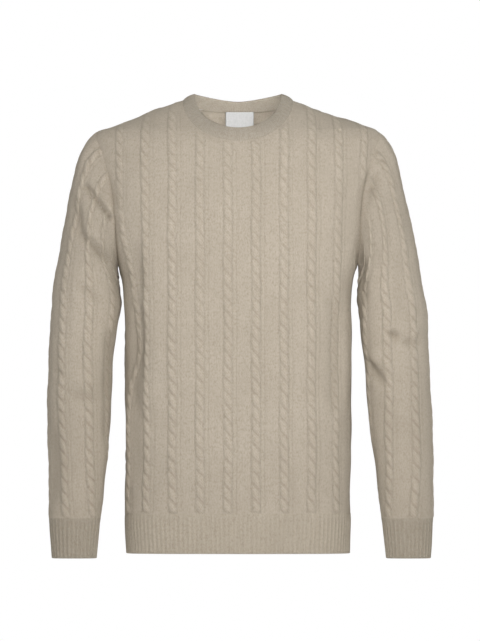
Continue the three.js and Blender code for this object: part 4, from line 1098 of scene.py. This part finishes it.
# Materials
class Nodes:
    """Adds shader nodes and joins them."""

    def __init__(self, name):
        self.material = bpy.data.materials.new(name)
        self.material.use_nodes = True
        self.tree = self.material.node_tree
        self.shader = self.tree.nodes["Principled BSDF"]

    def give(self, socket, value):
        """Joins another node's socket to this one, or sets a plain value."""
        if isinstance(value, bpy.types.NodeSocket):
            self.tree.links.new(value, socket)
        else:
            socket.default_value = value

    def add(self, kind, inputs, **settings):
        node = self.tree.nodes.new(kind)
        for key, value in settings.items():
            setattr(node, key, value)
        for key, value in inputs.items():
            self.give(node.inputs[key], value)
        return node

    def into(self, name, value):
        self.give(self.shader.inputs[name], value)

    def math(self, operation, a, b=0.0):
        return self.add("ShaderNodeMath", {0: a, 1: b}, operation=operation).outputs[0]

    def times(self, a, b):
        return self.math("MULTIPLY", a, b)

    def plus(self, a, b):
        return self.math("ADD", a, b)

    def places(self):
        """The place in the object, and the stitches counted across and along the cloth."""
        uv = self.add("ShaderNodeUVMap", {}, uv_map="stitches").outputs["UV"]
        parts = self.add("ShaderNodeSeparateXYZ", {0: uv})
        place = self.add("ShaderNodeTexCoord", {}).outputs["Object"]
        return place, parts.outputs[0], parts.outputs[1]

    def stretched(self, place, scale):
        return self.add("ShaderNodeMapping", {"Vector": place, "Scale": scale}).outputs[0]

    def noise(self, place, scale, detail=2.0):
        inputs = {"Vector": place, "Scale": scale, "Detail": detail}
        return self.add("ShaderNodeTexNoise", inputs).outputs["Fac"]

    def ramp(self, value, *stops):
        """A colour for a value, from stops of a position and a colour."""
        node = self.add("ShaderNodeValToRGB", {"Fac": value})
        elements = node.color_ramp.elements
        while len(elements) < len(stops):
            elements.new(0.5)
        for element, (position, colour) in zip(elements, stops):
            element.position = position
            element.color = (*colour, 1)
        return node.outputs["Color"]

    def mix(self, share, a, b, blend="MIX"):
        node = self.add("ShaderNodeMix", {}, data_type="RGBA", blend_type=blend)
        self.give(node.inputs[0], share)
        for key, colour in ((6, a), (7, b)):
            is_plain = isinstance(colour, tuple)
            self.give(node.inputs[key], (*colour, 1) if is_plain else colour)
        return node.outputs[2]

    def bump(self, height, strength, distance):
        inputs = {"Height": height, "Strength": strength, "Distance": distance}
        self.into("Normal", self.add("ShaderNodeBump", inputs).outputs[0])


BLACK, WHITE = (0, 0, 0), (1, 1, 1)
WOOL_DARK = (0.405, 0.345, 0.272)
WOOL_MID = (0.480, 0.415, 0.333)
WOOL_LIGHT = (0.550, 0.487, 0.402)
WOOL_CREVICE = (0.245, 0.200, 0.148)


def wool(name, tint, stitch_depth):
    """Melange wool: flecked fibres, stitches of two slanted legs, and a soft sheen."""
    n = Nodes(name)
    place, across, along = n.places()
    # A leg of each stitch leans out from the middle of its column
    off = n.math("ABSOLUTE", n.math("SUBTRACT", n.math("FRACT", across), 0.5))
    leg = n.math("SINE", n.times(off, 2 * np.pi))
    turn = n.times(n.plus(along, n.times(off, 1.5)), np.pi)
    loop = n.math("ABSOLUTE", n.math("SINE", turn))
    stitch = n.times(leg, n.math("POWER", loop, 0.6))
    # Fibres of lighter and darker wool, drawn out along the yarn, with paler and darker patches
    fleck = n.noise(n.stretched(place, (1.0, 1.0, 0.45)), 640, 3.0)
    patch = n.noise(n.stretched(place, (0.6, 0.6, 1.3)), 230, 3.0)
    cloud = n.noise(place, 22)
    colour = n.ramp(fleck, (0.30, WOOL_DARK), (0.47, WOOL_MID), (0.68, WOOL_LIGHT))
    pale = n.ramp(patch, (0.42, BLACK), (0.66, WHITE))
    colour = n.mix(n.times(pale, 0.5), colour, WOOL_LIGHT)
    dull = n.ramp(cloud, (0.35, WHITE), (0.6, BLACK))
    colour = n.mix(n.times(dull, 0.18), colour, WOOL_DARK)
    # Less light reaches grooves, seams, the gaps between stitches and the edges of their columns
    crevice = n.add("ShaderNodeAttribute", {}, attribute_name="shade").outputs["Fac"]
    colour = n.mix(n.times(crevice, 0.40), colour, WOOL_CREVICE)
    between = n.times(n.math("SUBTRACT", 1.0, stitch), 0.14)
    edge = n.times(n.math("POWER", n.times(off, 2.0), 4.0), 0.38)
    colour = n.mix(n.math("MAXIMUM", between, edge), colour, WOOL_CREVICE)
    n.into("Base Color", n.mix(1.0, colour, tint, "MULTIPLY"))
    fuzz = n.noise(place, 2600)
    n.bump(n.plus(stitch, n.times(fuzz, 0.5)), 0.75, stitch_depth * METRES)
    n.into("Roughness", n.plus(0.84, n.times(fleck, 0.2)))
    n.into("Specular IOR Level", 0.18)
    n.into("Sheen Weight", 0.22)
    n.into("Sheen Roughness", 0.5)
    n.into("Sheen Tint", (0.86, 0.82, 0.66, 1))
    return n.material


def woven(name):
    """A fine white woven ribbon with a satin face."""
    n = Nodes(name)
    place, across, along = n.places()
    weave = n.times(n.math("SINE", n.times(across, 40.0)), n.math("SINE", n.times(along, 34.0)))
    thread = n.noise(place, 420)
    n.into("Base Color", n.ramp(thread, (0.3, (0.42, 0.42, 0.415)), (0.7, (0.48, 0.48, 0.475))))
    n.bump(weave, 0.3, 0.0001)
    n.into("Roughness", n.plus(0.5, n.times(weave, 0.08)))
    n.into("Sheen Weight", 0.1)
    return n.material


def backdrop(name):
    """Plain light paper."""
    n = Nodes(name)
    grain = n.noise(n.add("ShaderNodeTexCoord", {}).outputs["Object"], 3.0)
    n.into("Base Color", n.ramp(grain, (0.3, (0.80, 0.80, 0.80)), (0.7, (0.83, 0.83, 0.83))))
    n.into("Roughness", 0.9)
    return n.material


knit_wool = wool("knit_wool", (1.0, 1.0, 1.0), 0.7)
# The darker tints of the hem, cuffs and neckband are painted shade, where less light reaches the
# ribbed pieces
rib_wool = wool("rib_wool", (0.95, 0.95, 0.94), 0.6)
cuff_wool = wool("cuff_wool", (0.78, 0.78, 0.77), 0.6)
band_wool = wool("band_wool", (0.84, 0.85, 0.86), 0.6)
ribbon = woven("label_ribbon")

# The pieces, each in the place of its solid
front = torso_panel("knit_front", FRONT, FRONT_SHIFT)
back = torso_panel("knit_back", BACK, 0)
sleeve_left = sleeve("knit_sleeve_left", LEFT)
sleeve_right = sleeve("knit_sleeve_right", RIGHT)
hem_front = hem_rib("rib_hem_front", FRONT)
hem_back = hem_rib("rib_hem_back", BACK)
cuff_left = cuff("rib_cuff_left", LEFT)
cuff_right = cuff("rib_cuff_right", RIGHT)
band = neckband("rib_neckband")
tag = label("woven_label")

# The cut of each piece of cloth in metres, and what it hangs from
PIECE_COLUMNS = ("piece", "node", "material", "slot", "width", "length", "area", "held", "hangs_on")
PIECES = [
    (front, "front_panel", knit_wool, "wool_knit", 0.495, 0.655, 0.270, "hung", [band]),
    (back, "back_panel", knit_wool, "wool_knit", 0.495, 0.655, 0.280, "hung", [band]),
    (sleeve_left, "sleeve_left", knit_wool, "wool_knit", 0.47, 0.605, 0.160, "hung", [front, back]),
    (sleeve_right, "sleeve_right", knit_wool, "wool_knit", 0.47, 0.605, 0.160, "hung", [front, back]),
    (hem_front, "hem_rib_front", rib_wool, "wool_rib", 0.475, 0.06, 0.0285, "hung", [front]),
    (hem_back, "hem_rib_back", rib_wool, "wool_rib", 0.475, 0.06, 0.0285, "hung", [back]),
    (cuff_left, "cuff_left", cuff_wool, "wool_rib", 0.232, 0.06, 0.01392, "hung", [sleeve_left]),
    (cuff_right, "cuff_right", cuff_wool, "wool_rib", 0.232, 0.06, 0.01392, "hung", [sleeve_right]),
    (band, "neckband", band_wool, "wool_rib", 0.42, 0.028, 0.01176, "stretched", [front, back]),
    (tag, "neck_label", ribbon, "label_weave", 0.042, 0.028, 0.001176, "hung", [band]),
]
for row in rows_of(PIECE_COLUMNS, PIECES):
    piece = row["piece"]
    piece.data.materials.append(row["material"])
    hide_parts(row["node"])
    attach(piece, "root")

# Floor and lights, with sizes in metres and power in watts
FLOOR_SIZE = 6
FLOOR_Z = -1.3
LIGHT_COLUMNS = ("name", "place", "aim", "size", "power")
LIGHTS = [
    ("key", (0.2, -1.4, 0.0), (0.02, 0, -0.28), 0.8, 14.7),
    ("left_fill", (-1.9, -1.3, -0.3), (-0.2, 0, -0.32), 0.8, 4.2),
    ("right_fill", (1.9, -1.3, -0.3), (0.2, 0, -0.32), 0.8, 3.6),
    ("back_fill", (-0.3, 3.0, 0.1), (0, 0, -0.3), 1.2, 32),
    ("low_fill", (0.2, -3.0, -1.1), (0, 0, -0.2), 1.2, 2.6),
    ("neck_fill", (0, -0.035, -0.075), (0, 0.07, -0.015), 0.09, 0.12),
]
WORLD_LIGHT = 0.52
WORLD_SEEN = 1.0

bpy.ops.mesh.primitive_plane_add(size=FLOOR_SIZE, location=(0, 0, FLOOR_Z))
floor = bpy.context.active_object
floor.name = "floor"
floor.data.materials.append(backdrop("floor_paper"))

for row in rows_of(LIGHT_COLUMNS, LIGHTS):
    light = bpy.data.lights.new(row["name"], "AREA")
    light.shape = "SQUARE"
    light.size = row["size"]
    light.energy = row["power"]
    lamp = new_object(row["name"], light)
    lamp.visible_camera = False
    lamp.location = row["place"]
    way = Vector(row["aim"]) - Vector(row["place"])
    lamp.rotation_euler = way.to_track_quat("-Z", "Y").to_euler()

# A white world that looks brighter to the camera than the light it gives
world = bpy.data.worlds.new("studio")
bpy.context.scene.world = world
world.use_nodes = True
tree = world.node_tree
lit = tree.nodes["Background"]
seen = tree.nodes.new("ShaderNodeBackground")
for background, strength in ((lit, WORLD_LIGHT), (seen, WORLD_SEEN)):
    background.inputs["Color"].default_value = (1, 1, 1, 1)
    background.inputs["Strength"].default_value = strength
ray = tree.nodes.new("ShaderNodeLightPath")
choice = tree.nodes.new("ShaderNodeMixShader")
tree.links.new(ray.outputs["Is Camera Ray"], choice.inputs[0])
tree.links.new(lit.outputs[0], choice.inputs[1])
tree.links.new(seen.outputs[0], choice.inputs[2])
tree.links.new(choice.outputs[0], tree.nodes["World Output"].inputs["Surface"])

# The camera looks straight at the front from far away, with 1.5 mm of sweater to each pixel
camera_data = bpy.data.cameras.new("camera")
camera_data.lens = 898.5
camera_data.clip_end = 100
camera_data.sensor_width = 36
camera = new_object("camera", camera_data)
camera.location = (0.003, -24, -0.330)
camera.rotation_euler = (np.pi / 2, 0, 0)
bpy.context.scene.camera = camera
bpy.context.scene.view_settings.view_transform = "Standard"
